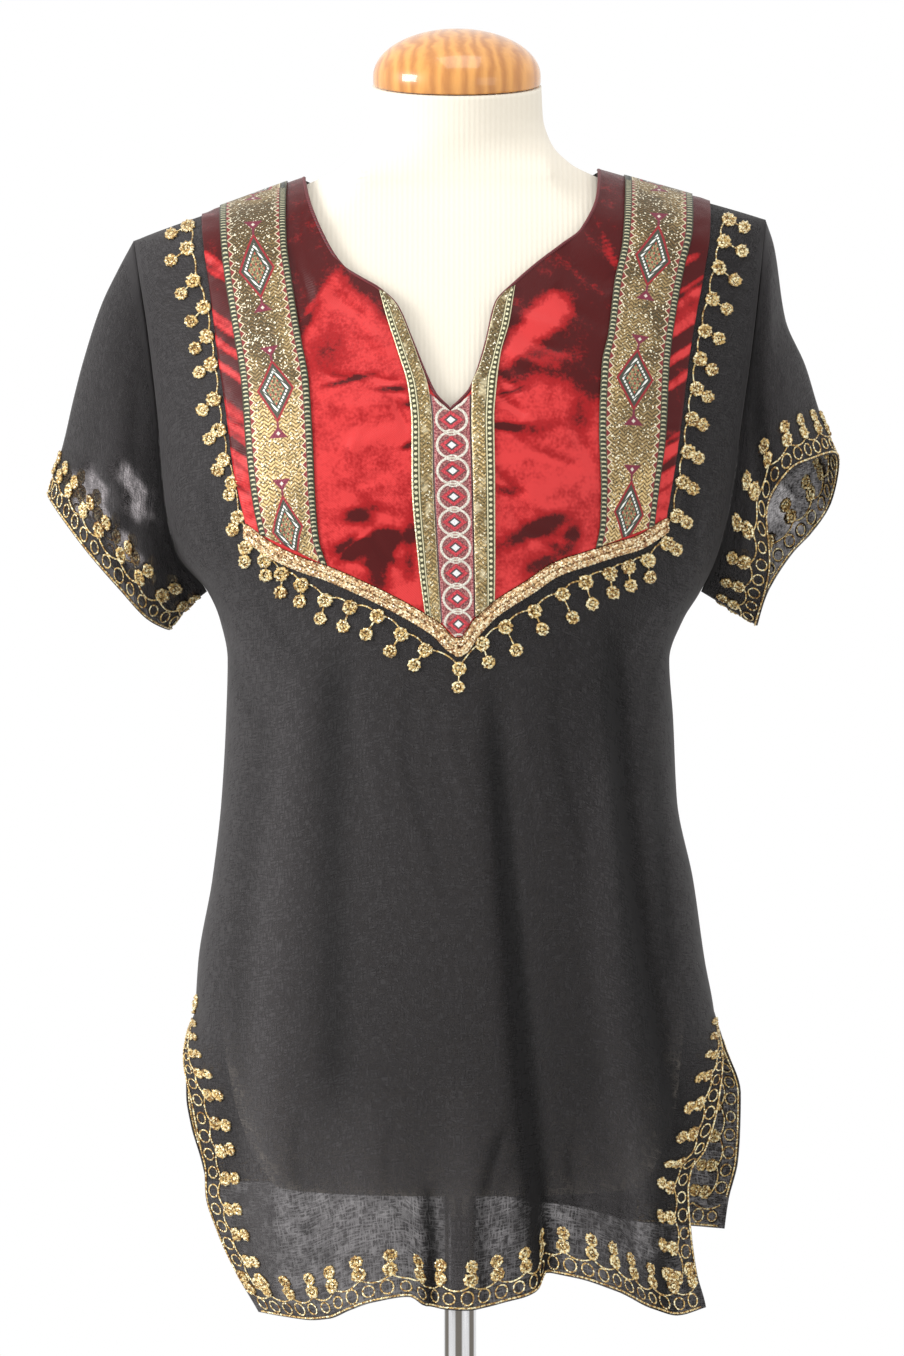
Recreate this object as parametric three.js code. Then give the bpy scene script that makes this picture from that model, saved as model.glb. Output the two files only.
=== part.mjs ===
// Short-sleeve tunic blouse in black voile, worn on a limbless dress form with a plate stand.
// Millimetres, +Z up, the wearer's front faces -Y. The origin is the centre of the base's underside.
import * as THREE from 'three';

// ---- driving dimensions ------------------------------------------------------------------
const WALL = 1.5; // blouse cloth with its turnings
const SEAM = 0.3; // space left between two pieces at a seam
const TRIM_WALL = 1.0; // satin, ribbons and woven trim
const TRIM_LIFT = 0.5; // from a cloth to the trim that lies on it
const BRAID_WIDTH = 8.5;
const BRAID_WALL = 2.4;
const ROUNDNESS = 2.3; // exponent of the body's flattened oval sections
const SHOULDER_Y = 8; // the shoulder seams lie a little behind the side seams
const SHOULDER_ROLL = 40; // height over which the cloth turns over the shoulder
const SLIT_TOP = 355; // where the side slits begin
const ARMPIT = 627; // lowest point of both armholes
const V_POINT = { x: -6.3, z: 739 }; // bottom of the front neckline
const CLEARANCE = 3.4; // from the cloth's outside down to the form
const FORM_BOTTOM = 243;
const NECK_TOP = 956;
const NECK_DEPTH = 55; // half the neck's depth, front to back
const NECK_Y = 4;
const CAP_X = -2;
const CAP_RADIUS = 54.6;
const CAP_RISE = 34;
const POLE_DIAMETER = 21;
const BASE_DIAMETER = 290;
const BASE_THICKNESS = 6;

// Outside of the blouse above the slits: x of its two side edges, depth of front and back.
const BODY = [
  { z: 150, left: -176, right: 174, front: -136, back: 122 },
  { z: 250, left: -176, right: 174, front: -137, back: 123 },
  { z: 355, left: -172, right: 165, front: -135, back: 119 },
  { z: 388, left: -170, right: 159, front: -134, back: 117 },
  { z: 440, left: -161, right: 151.5, front: -132, back: 112 },
  { z: 492, left: -155, right: 141, front: -130, back: 104 },
  { z: 545, left: -152, right: 138.5, front: -129.5, back: 99 },
  { z: 583, left: -151, right: 136, front: -131, back: 100 },
  { z: 609, left: -156, right: 145, front: -132, back: 101 },
  { z: 627, left: -163.8, right: 156, front: -133, back: 102 },
  { z: 651, left: -182, right: 166, front: -134, back: 104 },
  { z: 687, left: -189.8, right: 174, front: -134, back: 106 },
  { z: 740, left: -194.5, right: 181.5, front: -125, back: 108 },
  { z: 770, left: -198, right: 186, front: -114, back: 106 },
  { z: 800, left: -202, right: 190, front: -101, back: 102 },
  { z: 830, left: -207, right: 193.5, front: -87, back: 95 },
  { z: 860, left: -212.5, right: 197, front: -72, back: 85 },
  { z: 890, left: -217, right: 201, front: -58, back: 70 },
  { z: 925, left: -221, right: 205, front: -53, back: 62 },
  { z: 960, left: -221, right: 205, front: -52, back: 62 },
];

// Free side edges of the front and the back below the slit tops.
const FRONT_EDGE = [
  { z: 154, left: -122, right: 150 },
  { z: 166, left: -128, right: 157 },
  { z: 192, left: -143, right: 151 },
  { z: 218, left: -155, right: 147.5 },
  { z: 243, left: -162.5, right: 146 },
  { z: 258, left: -163.5, right: 148 },
  { z: 271, left: -168.5, right: 157 },
  { z: 299, left: -175, right: 165 },
  { z: 330, left: -178, right: 168.5 },
  { z: 355, left: -172, right: 165 },
];
const BACK_EDGE = [
  { z: 190, left: -158, right: 173 },
  { z: 225, left: -165, right: 177.5 },
  { z: 252, left: -171, right: 184 },
  { z: 276, left: -178, right: 185.5 },
  { z: 296, left: -181, right: 185.8 },
  { z: 330, left: -180.5, right: 174 },
  { z: 355, left: -172, right: 165 },
];

// Height of the two hems across the blouse.
const FRONT_HEM = [
  { x: -130, z: 167 }, { x: -100, z: 166 }, { x: -83, z: 168.5 }, { x: -67, z: 175.5 },
  { x: -52, z: 181 }, { x: -30, z: 184.5 }, { x: -20, z: 178 }, { x: 4, z: 176.5 },
  { x: 31, z: 181.5 }, { x: 50, z: 187 }, { x: 57, z: 198 }, { x: 77, z: 195 },
  { x: 102, z: 185.5 }, { x: 122, z: 172.5 }, { x: 138, z: 166.5 }, { x: 157, z: 170 },
];
const BACK_HEM = [
  { x: -165, z: 207 }, { x: -110, z: 200 }, { x: -50, z: 208 }, { x: 10, z: 201 },
  { x: 70, z: 209 }, { x: 120, z: 202 }, { x: 176, z: 207 },
];

// Top line of the shoulders and neck, seen from the front.
const SHOULDER_LINE = [
  { x: -225, z: 850.5 }, { x: -212, z: 855.7 }, { x: -101, z: 895.3 },
  { x: -80, z: 906 }, { x: -67, z: 922 }, { x: -61.5, z: 940 }, { x: -60, z: 975 }, { x: -54, z: 1040 },
  { x: 50, z: 1040 }, { x: 56, z: 975 }, { x: 57.5, z: 940 }, { x: 63, z: 922 }, { x: 74, z: 909 },
  { x: 89.7, z: 900.5 }, { x: 198.2, z: 869.6 }, { x: 210, z: 866 },
];

// Folds: inward troughs have a negative depth. A fold runs through its three points.
const FRONT_FOLDS = [
  { name: 'centre trough', top: [17, 590], mid: [32, 409], low: [54, 180], head: -3, foot: -11, width: 10 },
  { name: 'left ridge', top: [-99, 610], mid: [-118, 440], low: [-120, 190], head: 3, foot: 7, width: 14 },
  { name: 'left valley', top: [-117, 560], mid: [-134, 433], low: [-142, 260], head: -3, foot: -7, width: 12 },
  { name: 'waist valley', top: [-79, 610], mid: [-80, 490], low: [-79, 330], head: -3, foot: -3, width: 15 },
  { name: 'right trough', top: [94, 620], mid: [103, 484], low: [131, 300], head: -5, foot: -8, width: 10 },
  { name: 'right line', top: [124, 540], mid: [127, 470], low: [131, 395], head: -2, foot: -3, width: 6 },
  { name: 'right ridge', top: [89, 560], mid: [91, 400], low: [112, 235], head: 3, foot: 5, width: 10 },
  { name: 'hem overlap', top: [-20, 260], mid: [-18, 215], low: [-19, 165], head: -3, foot: -8, width: 6 },
  { name: 'hem crease', top: [32, 300], mid: [16, 257], low: [14, 190], head: -2, foot: -4, width: 5 },
  { name: 'left hem roll', top: [-62, 330], mid: [-60, 250], low: [-58, 150], head: 0, foot: 9, width: 24 },
  { name: 'centre hem roll', top: [3, 340], mid: [2, 250], low: [0, 150], head: 0, foot: 8, width: 15 },
  { name: 'right hem roll', top: [92, 330], mid: [90, 250], low: [86, 150], head: 0, foot: 9, width: 20 },
  { name: 'corner tuck', top: [126, 260], mid: [128, 215], low: [130, 160], head: -2, foot: -7, width: 9 },
];
const BACK_FOLDS = [
  { name: 'left trough', top: [-96, 640], mid: [-104, 430], low: [-116, 185], head: -3, foot: -9, width: 13 },
  { name: 'left roll', top: [-64, 560], mid: [-66, 400], low: [-78, 185], head: 2, foot: 8, width: 17 },
  { name: 'centre left', top: [-24, 660], mid: [-30, 450], low: [-34, 185], head: -2, foot: -8, width: 12 },
  { name: 'centre roll', top: [6, 520], mid: [8, 380], low: [6, 185], head: 1, foot: 8, width: 17 },
  { name: 'centre right', top: [40, 640], mid: [48, 440], low: [52, 185], head: -3, foot: -9, width: 11 },
  { name: 'right roll', top: [74, 560], mid: [80, 400], low: [90, 185], head: 2, foot: 7, width: 16 },
  { name: 'right trough', top: [104, 620], mid: [112, 440], low: [128, 185], head: -4, foot: -9, width: 12 },
];

// Rows up a piece as shares of its height: even ones, then closer ones over the shoulder's turn.
function rowLevels(evenRows, turnRows, turn) {
  const even = Array.from({ length: evenRows + 1 }, (_, row) => (turn * row) / evenRows);
  const over = Array.from({ length: turnRows }, (_, row) => 1 - (1 - turn) * (1 - (row + 1) / turnRows) ** 2);
  return [...even, ...over];
}
const OVER_SHOULDER = { even: 5, turn: 8, share: 0.68 };

// Yoke, ribbons and braid on the front: edges as x and z seen from the front.
const NECKLINE_LEFT = [
  { x: -6.3, z: 739 }, { x: -15.4, z: 748.1 }, { x: -21.1, z: 759.5 }, { x: -31.3, z: 784.9 },
  { x: -40.4, z: 805.9 }, { x: -51.8, z: 817 }, { x: -64.3, z: 824.5 }, { x: -74.5, z: 831.5 },
  { x: -87.3, z: 852 }, { x: -96.3, z: 874.8 }, { x: -101, z: 895.3 },
];
const NECKLINE_RIGHT = [
  { x: -6.3, z: 739 }, { x: 0.3, z: 744.8 }, { x: 6.7, z: 752.6 }, { x: 16.4, z: 781.6 },
  { x: 22.8, z: 807.5 }, { x: 35.8, z: 821.6 }, { x: 49.5, z: 833.8 }, { x: 65.1, z: 846 },
  { x: 77, z: 855.6 }, { x: 87.7, z: 879.1 }, { x: 89.7, z: 900.5 },
];
const YOKE_EDGE_LEFT = [
  { x: -134.5, z: 664 }, { x: -142.1, z: 702.4 }, { x: -146.8, z: 736.2 }, { x: -153.1, z: 776.3 },
  { x: -159.1, z: 819.5 }, { x: -164.6, z: 853.9 }, { x: -166.8, z: 870.7 },
];
const YOKE_EDGE_RIGHT = [
  { x: 129.3, z: 670.2 }, { x: 136.1, z: 712.8 }, { x: 140.7, z: 745.5 }, { x: 144.4, z: 773.2 },
  { x: 149.3, z: 801.1 }, { x: 154.7, z: 827.2 }, { x: 159.2, z: 852.5 }, { x: 161.8, z: 880 },
];
const RIBBONS = [
  {
    name: 'ribbon_wide_left',
    levels: rowLevels(10, 8, 0.8),
    outer: [
      { x: -125.1, z: 664 }, { x: -128.8, z: 679.2 }, { x: -133.4, z: 713.1 }, { x: -137.1, z: 756.2 },
      { x: -144, z: 796.5 }, { x: -150.6, z: 836.5 }, { x: -154.6, z: 874.8 },
    ],
    inner: [
      { x: -82.6, z: 643 }, { x: -87.6, z: 656.9 }, { x: -89.8, z: 679.2 }, { x: -92.1, z: 724 },
      { x: -94.8, z: 758.1 }, { x: -99.9, z: 784.9 }, { x: -106.8, z: 825.9 }, { x: -110.1, z: 849.8 },
      { x: -111.2, z: 891.2 },
    ],
  },
  {
    name: 'ribbon_wide_right',
    levels: rowLevels(10, 8, 0.8),
    outer: [
      { x: 120.9, z: 668.5 }, { x: 123.8, z: 690.5 }, { x: 128.4, z: 724 }, { x: 131.2, z: 768.4 },
      { x: 137, z: 808.1 }, { x: 142.8, z: 835.1 }, { x: 147.8, z: 855.6 }, { x: 149.9, z: 883 },
    ],
    inner: [
      { x: 84.1, z: 653.8 }, { x: 86.9, z: 668 }, { x: 87.4, z: 690.5 }, { x: 86.4, z: 724 },
      { x: 88.6, z: 768.4 }, { x: 92.9, z: 788.2 }, { x: 97.3, z: 821.6 }, { x: 102.9, z: 848.8 },
      { x: 106, z: 894.5 },
    ],
  },
  {
    name: 'ribbon_neck_left',
    levels: rowLevels(18, 0, 1),
    outer: [
      { x: -22, z: 608.5 }, { x: -26.3, z: 644.8 }, { x: -30.3, z: 695.6 }, { x: -30.4, z: 728.8 },
      { x: -32.7, z: 752.4 }, { x: -39.3, z: 775.7 }, { x: -46.1, z: 797 }, { x: -51.2, z: 815.6 },
    ],
    inner: [
      { x: -12, z: 602.6 }, { x: -14.4, z: 644.8 }, { x: -17, z: 695.6 }, { x: -17.5, z: 728.8 },
      { x: -19.8, z: 751.2 }, { x: -26.7, z: 772.2 }, { x: -31.3, z: 784.9 }, { x: -40.4, z: 805.9 },
      { x: -48.5, z: 814.6 },
    ],
  },
  {
    name: 'ribbon_neck_right',
    levels: rowLevels(18, 0, 1),
    outer: [
      { x: 21.3, z: 619 }, { x: 21.6, z: 644.8 }, { x: 21.5, z: 695.6 }, { x: 21.1, z: 733.5 },
      { x: 22.5, z: 752.4 }, { x: 25.2, z: 773.8 }, { x: 30.9, z: 795 }, { x: 34.6, z: 818.4 },
    ],
    inner: [
      { x: 9.4, z: 607.8 }, { x: 8.8, z: 644.8 }, { x: 7.8, z: 695.6 }, { x: 6.9, z: 733.5 },
      { x: 7.2, z: 753.6 }, { x: 11.8, z: 765.7 }, { x: 16.4, z: 781.6 }, { x: 19.6, z: 796.2 },
      { x: 22.8, z: 807.5 }, { x: 29, z: 815 },
    ],
  },
];
const BRAID_LINE = [
  { x: -135, z: 663.4 }, { x: -116.6, z: 650.2 }, { x: -99.8, z: 642.4 }, { x: -83.2, z: 636.7 },
  { x: -60.7, z: 626.7 }, { x: -38.4, z: 615.5 }, { x: -16.3, z: 602.3 }, { x: -0.9, z: 590.2 },
  { x: 11.1, z: 603.6 }, { x: 21, z: 613.3 }, { x: 43.2, z: 627.9 }, { x: 60, z: 639 },
  { x: 82.4, z: 646.8 }, { x: 99.2, z: 652.4 }, { x: 110.3, z: 655.7 }, { x: 130, z: 667.5 },
];

// Sleeves: the outer line from the shoulder point to the cuff, the underarm line, the cuff's edge.
const SLEEVES = [
  {
    name: 'sleeve_left',
    side: -1,
    top: [
      { x: -211.9, z: 855.7 }, { x: -222, z: 837 }, { x: -233, z: 814 }, { x: -245, z: 777 },
      { x: -251, z: 754 }, { x: -258.5, z: 722 }, { x: -268.5, z: 690 },
    ],
    under: [{ x: -163.8, z: 627 }, { x: -176.8, z: 616.5 }, { x: -188.5, z: 602.2 }],
    cuff: [
      { x: -268.5, y: 4, z: 690 }, { x: -257, y: -27, z: 674 }, { x: -238, y: -44, z: 650 },
      { x: -219, y: -45, z: 628 }, { x: -202, y: -30, z: 609 }, { x: -188.5, y: 0, z: 602.2 },
      { x: -203, y: 30, z: 614 }, { x: -221, y: 44, z: 634 }, { x: -240, y: 45, z: 656 },
      { x: -258, y: 31, z: 679 },
    ],
    folds: [
      { name: 'hang', top: [-190, 735], mid: [-193, 675], low: [-172, 615], head: -3, foot: -3, width: 9 },
    ],
  },
  {
    name: 'sleeve_right',
    side: 1,
    top: [
      { x: 198.3, z: 869.5 }, { x: 204, z: 852 }, { x: 211.5, z: 804.5 }, { x: 224.5, z: 774.5 },
      { x: 234, z: 744 }, { x: 246, z: 715 },
    ],
    under: [{ x: 156, z: 627 }, { x: 174, z: 616 }, { x: 192, z: 605 }],
    cuff: [
      { x: 246, y: 4, z: 715 }, { x: 226, y: -30, z: 711 }, { x: 210, y: -46, z: 702 },
      { x: 197.5, y: -46, z: 678 }, { x: 200, y: -34, z: 640 }, { x: 193, y: 0, z: 605 },
      { x: 202, y: 24, z: 628 }, { x: 218, y: 40, z: 652 }, { x: 232, y: 44, z: 667 },
      { x: 244, y: 32, z: 687 },
    ],
    folds: [
      { name: 'shoulder', top: [191, 850], mid: [188, 760], low: [197, 690], head: -2, foot: -6, width: 8 },
      { name: 'underarm', top: [186, 690], mid: [172, 655], low: [160, 628], head: -3, foot: -2, width: 8 },
    ],
  },
];

// Dress form below the shoulders, where it is narrower than the blouse.
const FORM = [
  { z: 243, left: -121, right: 119, front: -93, back: 90 },
  { z: 252, left: -128, right: 126, front: -98, back: 95 },
  { z: 300, left: -147, right: 141, front: -107, back: 104 },
  { z: 370, left: -156, right: 146, front: -111, back: 106 },
  { z: 440, left: -145, right: 137, front: -106, back: 99 },
  { z: 500, left: -124, right: 119, front: -94, back: 86 },
  { z: 560, left: -112, right: 109, front: -91, back: 80 },
  { z: 610, left: -124, right: 118, front: -108, back: 87 },
  { z: 655, left: -141, right: 134, front: -124, back: 96 },
  { z: 695, left: -152, right: 146, front: -129, back: 101 },
  { z: 740, left: -164, right: 157, front: -121, back: 104 },
];

// ---- curves and tables -------------------------------------------------------------------
const clamp01 = (value) => Math.min(1, Math.max(0, value));
const mix = (a, b, t) => a + (b - a) * t;
const smooth = (value) => clamp01(value) ** 2 * (3 - 2 * clamp01(value));

// Reads one column of a table at a value of its key column, along a smooth monotone curve.
function read(table, key, column, value) {
  const last = table.length - 1;
  if (value <= table[0][key]) return table[0][column];
  if (value >= table[last][key]) return table[last][column];
  let i = 0;
  while (value > table[i + 1][key]) i += 1;
  const slope = (j) => (table[j + 1][column] - table[j][column]) / (table[j + 1][key] - table[j][key]);
  const tangent = (j) => {
    if (j === 0) return slope(0);
    if (j === last) return slope(last - 1);
    const [a, b] = [slope(j - 1), slope(j)];
    return a * b <= 0 ? 0 : (2 * a * b) / (a + b);
  };
  const run = table[i + 1][key] - table[i][key];
  const t = (value - table[i][key]) / run;
  const from = table[i][column] * (1 + 2 * t) * (1 - t) ** 2 + tangent(i) * run * t * (1 - t) ** 2;
  const to = table[i + 1][column] * t * t * (3 - 2 * t) - tangent(i + 1) * run * t * t * (1 - t);
  return from + to;
}

// Height of the shoulder line at x: its points are joined by straight lines.
function shoulderZ(x) {
  const after = Math.max(1, SHOULDER_LINE.findIndex((point) => point.x >= x));
  const [from, to] = [SHOULDER_LINE[after - 1], SHOULDER_LINE[after]];
  return mix(from.z, to.z, clamp01((x - from.x) / (to.x - from.x)));
}

// A point at share t of an edge's height, from its lowest row to its highest.
function onEdge(edge, t) {
  const z = mix(edge[0].z, edge[edge.length - 1].z, t);
  return { x: read(edge, 'z', 'x', z), z };
}

// How far the folds push the cloth out (+) or in (-) at a place seen from the front.
function foldDepth(folds, x, z) {
  let depth = 0;
  for (const { top, mid, low, head, foot, width } of folds) {
    const t = (top[1] - z) / (top[1] - low[1]);
    if (t < 0) continue;
    const tMid = (top[1] - mid[1]) / (top[1] - low[1]);
    const bow = (mid[0] - mix(top[0], low[0], tMid)) / (tMid * (1 - tMid));
    const share = Math.min(t, 1);
    const centre = mix(top[0], low[0], share) + bow * share * (1 - share);
    const beyond = t > 1 ? Math.max(0, 1 - (t - 1) * 6) : 1;
    depth += mix(head, foot, share) * smooth(t * 5) * beyond * Math.exp(-(((x - centre) / width) ** 2));
  }
  return depth;
}

// ---- the blouse's surface ----------------------------------------------------------------
const centreX = (z) => (read(BODY, 'z', 'left', z) + read(BODY, 'z', 'right', z)) / 2;

// How far a panel stops short of the end of its section: nothing along the side seams, and a
// few hundredths at the armholes and the slits, where its edge stands clear of the side.
const openShare = (z) => 0.035 * smooth((z - ARMPIT) / 50) + 0.03 * smooth((SLIT_TOP - z) / 60);

const panelEdge = (edges, column, z) =>
  z < SLIT_TOP ? read(edges, 'z', column, z) : read(BODY, 'z', column, z);

// Depth of the cloth's outside at x, z: the oval section, the shoulder's roll and the folds.
function clothY(panel, x, z) {
  const middle = centreX(z);
  const column = x < middle ? 'left' : 'right';
  const half = Math.abs(panelEdge(panel.edges, column, z) - middle) * (1 + openShare(z));
  const across = Math.min(1, Math.abs(x - middle) / half);
  const oval = (1 - across ** ROUNDNESS) ** (1 / ROUNDNESS);
  const fold = foldDepth(panel.folds, x, z) * (1 - across ** 4);
  const depth = read(BODY, 'z', panel.column, z) * oval + fold * Math.sign(panel.facing);
  const below = shoulderZ(x) - z;
  const roll = Math.sqrt(1 - (1 - clamp01(below / SHOULDER_ROLL)) ** 2);
  return mix(SHOULDER_Y, depth, roll);
}
const FRONT = { edges: FRONT_EDGE, folds: FRONT_FOLDS, column: 'front', facing: -1 };
const BACK = { edges: BACK_EDGE, folds: BACK_FOLDS, column: 'back', facing: 1 };

// ---- closed walls from grids of points ---------------------------------------------------
// Direction of a line of points at one of them: central inside the line, curved at its ends.
function direction(pointAt, index, low, high) {
  if (index > low && index < high) return pointAt(index + 1).clone().sub(pointAt(index - 1));
  const step = index === low ? 1 : -1;
  const [near, far] = [pointAt(index + step), pointAt(Math.min(high, Math.max(low, index + 2 * step)))];
  const plain = near.clone().sub(pointAt(index)).multiplyScalar(step);
  const curved = near.clone().multiplyScalar(4).addScaledVector(pointAt(index), -3).sub(far);
  return curved.length() > plain.length() ? curved.multiplyScalar(step) : plain;
}

// Along a shoulder or side seam both panels' walls stand upright in the seam's plane, and at an
// armhole the wall leans in, away from the sleeve.
function alongSeam(normal, point, atTop, atSide) {
  const onShoulder = atTop && Math.abs(point.y - SHOULDER_Y) < 2 * SEAM;
  const onSide = atSide && point.z < ARMPIT + 4 && Math.abs(point.y) < 8;
  if (onShoulder || onSide) normal.y = 0;
  const outward = Math.sign(point.x);
  if (atSide && point.z > ARMPIT) normal.x = outward * Math.max(0.2, normal.x * outward);
  return normal.normalize();
}

// grid[row][column] is a THREE.Vector3 on the cloth's outside. A wall that lies on that cloth has
// a lift, and stands outside it. A ring's last column joins its first, and its first row stands
// upright at the armhole.
function wall(name, material, grid, { lift = 0, thickness = WALL, outwards, ring = false }) {
  const rows = grid.length;
  const columns = grid[0].length;
  const normalAt = (row, column) => {
    const turn = (c) => grid[row][(c + columns) % columns];
    const across = ring ? direction(turn, column, -2, columns + 1)
      : direction((c) => grid[row][c], column, 0, columns - 1);
    const up = direction((r) => grid[r][column], row, 0, rows - 1);
    const normal = up.cross(across).normalize();
    if (normal.dot(outwards(grid[row][column])) < 0) normal.negate();
    if (ring && row === 0) normal.setX(0).normalize();
    if (ring) return normal;
    return alongSeam(normal, grid[row][column], row === rows - 1, column % (columns - 1) === 0);
  };
  const outside = [];
  const inside = [];
  grid.forEach((line, row) => line.forEach((point, column) => {
    const normal = normalAt(row, column);
    outside.push(point.clone().addScaledVector(normal, lift + (lift > 0 ? thickness : 0)));
    inside.push(point.clone().addScaledVector(normal, lift > 0 ? lift : -thickness));
  }));
  const quads = [];
  for (let row = 0; row < rows - 1; row += 1) {
    for (let column = 0; column < (ring ? columns : columns - 1); column += 1) {
      const next = (column + 1) % columns;
      const [here, above] = [row * columns, (row + 1) * columns];
      quads.push([here + column, here + next, above + next, above + column]);
    }
  }
  return closedMesh(name, material, outside, inside, quads, outwards);
}

// Joins an outside and an inside layer along every free edge into one closed body.
function closedMesh(name, material, outside, inside, quads, outwards) {
  const triangles = [];
  const offset = outside.length;
  const facing = quads.reduce((sum, quad) => {
    const [a, b, c] = quad.map((index) => outside[index]);
    const turn = new THREE.Vector3().subVectors(b, a).cross(new THREE.Vector3().subVectors(c, a));
    return sum + turn.dot(outwards(a));
  }, 0);
  const ordered = facing < 0 ? quads.map((quad) => [...quad].reverse()) : quads;
  const edges = new Map();
  for (const quad of ordered) {
    triangles.push(quad[0], quad[1], quad[2], quad[0], quad[2], quad[3]);
    const back = quad.map((index) => index + offset);
    triangles.push(back[2], back[1], back[0], back[3], back[2], back[0]);
    quad.forEach((from, i) => edges.set(`${from},${quad[(i + 1) % 4]}`, [from, quad[(i + 1) % 4]]));
  }
  for (const [from, to] of edges.values()) {
    if (edges.has(`${to},${from}`)) continue;
    triangles.push(to, from, from + offset, to, from + offset, to + offset);
  }
  return solid(name, material, [...outside, ...inside], triangles);
}

// A named mesh from points and triangles, with the points that nothing uses left out.
function solid(name, material, points, triangles) {
  const used = new Map();
  const positions = [];
  const index = triangles.map((corner) => {
    if (!used.has(corner)) {
      used.set(corner, used.size);
      positions.push(points[corner].x, points[corner].y, points[corner].z);
    }
    return used.get(corner);
  });
  const geometry = new THREE.BufferGeometry();
  geometry.setAttribute('position', new THREE.Float32BufferAttribute(positions, 3));
  geometry.setIndex(index);
  geometry.computeVertexNormals();
  const mesh = new THREE.Mesh(geometry, material);
  mesh.name = name;
  return mesh;
}

// ---- materials ---------------------------------------------------------------------------
function paint(color, roughness, metalness = 0) {
  return new THREE.MeshStandardMaterial({ color, roughness, metalness });
}
const voile = paint(0x262424, 0.85);
const satin = paint(0xb3122a, 0.35);
const goldRibbon = paint(0xb08d3e, 0.45, 0.3);
const wovenTrim = paint(0x8c2230, 0.7);
const goldBraid = paint(0xc79a4b, 0.4, 0.5);
const jersey = paint(0xe6dcc8, 0.9);
const pine = paint(0xc98a45, 0.3);
const steel = paint(0xb8bcc0, 0.25, 1);

const blouse = new THREE.Group();
// A direction that surely leaves the front or the back: outwards, sideways and over the shoulder.
const leaving = (facing) => ({ x, z }) => new THREE.Vector3(x / 400, facing, clamp01((z - 750) / 100));
const frontwards = leaving(-1);
const onFront = ({ x, z, seam }) => new THREE.Vector3(x, seam ? SHOULDER_Y : clothY(FRONT, x, z), z);

// ---- front panel: full rows up to the neckline's point, then a left and a right half ---------
const FRONT_COLUMNS = 32;
const MIDDLE = FRONT_COLUMNS / 2;
const LOWER_ROWS = 21;
const UPPER_LEVELS = rowLevels(OVER_SHOULDER.even, OVER_SHOULDER.turn, OVER_SHOULDER.share);
const rowLevel = (share) => share - 0.05 * Math.sin(2 * Math.PI * share); // closer rows near the armpits

// Share of the half width at a column, closer together towards the side where the cloth turns.
const spread = (share) => Math.sin(share * Math.PI / 2);

function frontPanel() {
  const grid = [];
  const bodyRow = (level) => {
    const line = [];
    for (let column = 0; column <= FRONT_COLUMNS; column += 1) {
      const share = column / MIDDLE - 1;
      const side = share < 0 ? 'left' : 'right';
      const ease = (z) => mix(centreX(z), panelEdge(FRONT_EDGE, side, z), spread(Math.abs(share)));
      const hem = read(FRONT_HEM, 'x', 'z', ease(mix(170, V_POINT.z, level)));
      const z = mix(hem, V_POINT.z, level);
      const shift = mix(0, V_POINT.x - centreX(z), smooth((z - 640) / 99)) * (1 - Math.abs(share));
      line.push({ x: ease(z) + shift, z });
    }
    return line;
  };
  for (let row = 0; row <= LOWER_ROWS; row += 1) grid.push(bodyRow(rowLevel(row / LOWER_ROWS)));
  const foot = grid[LOWER_ROWS];
  const halves = [
    { neckline: NECKLINE_LEFT, side: 'left', tip: { x: -212, z: 855.7 }, column: (step) => MIDDLE - step },
    { neckline: NECKLINE_RIGHT, side: 'right', tip: { x: 198.2, z: 869.6 }, column: (step) => MIDDLE + step },
  ];
  const rightHalf = [];
  for (const t of UPPER_LEVELS.slice(1)) {
    const line = [];
    const twin = [];
    halves.forEach(({ neckline, side, tip, column }, half) => {
      const inner = onEdge(neckline, t);
      const neck = onEdge(neckline, 1);
      const edgeZ = mix(V_POINT.z, tip.z, t);
      const outer = { x: panelEdge(FRONT_EDGE, side, edgeZ), z: edgeZ };
      for (let step = 0; step <= MIDDLE; step += 1) {
        const share = mix(spread(step / MIDDLE), step / MIDDLE, 0.4 * t);
        const base = foot[column(step)];
        const seamX = mix(neck.x, tip.x, share);
        const seam = { x: seamX, z: shoulderZ(seamX) };
        const blend = (axis) => mix(base[axis], seam[axis], t) + mix(inner[axis], outer[axis], share)
          - mix(mix(V_POINT[axis], outerFoot(side)[axis], share), mix(neck[axis], tip[axis], share), t);
        const point = { x: blend('x'), z: blend('z'), seam: t === 1 };
        (half === 0 ? line : twin)[half === 0 ? MIDDLE - step : step] = point;
      }
    });
    grid.push([...line, ...twin.slice(1)]);
    rightHalf.push(twin[0]);
  }
  return { grid, rightHalf };
}
const outerFoot = (side) => ({ x: read(BODY, 'z', side, V_POINT.z), z: V_POINT.z });

// Splits the middle column above the neckline's point into a left and a right one.
function splitGrid({ grid, rightHalf }, toPoint, splitRow, middle) {
  const width = grid[0].length;
  const points = grid.map((line, row) => {
    const own = line.map(toPoint);
    own.push(row > splitRow ? toPoint(rightHalf[row - splitRow - 1]) : own[middle].clone());
    return own;
  });
  return { points, width };
}

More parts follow.
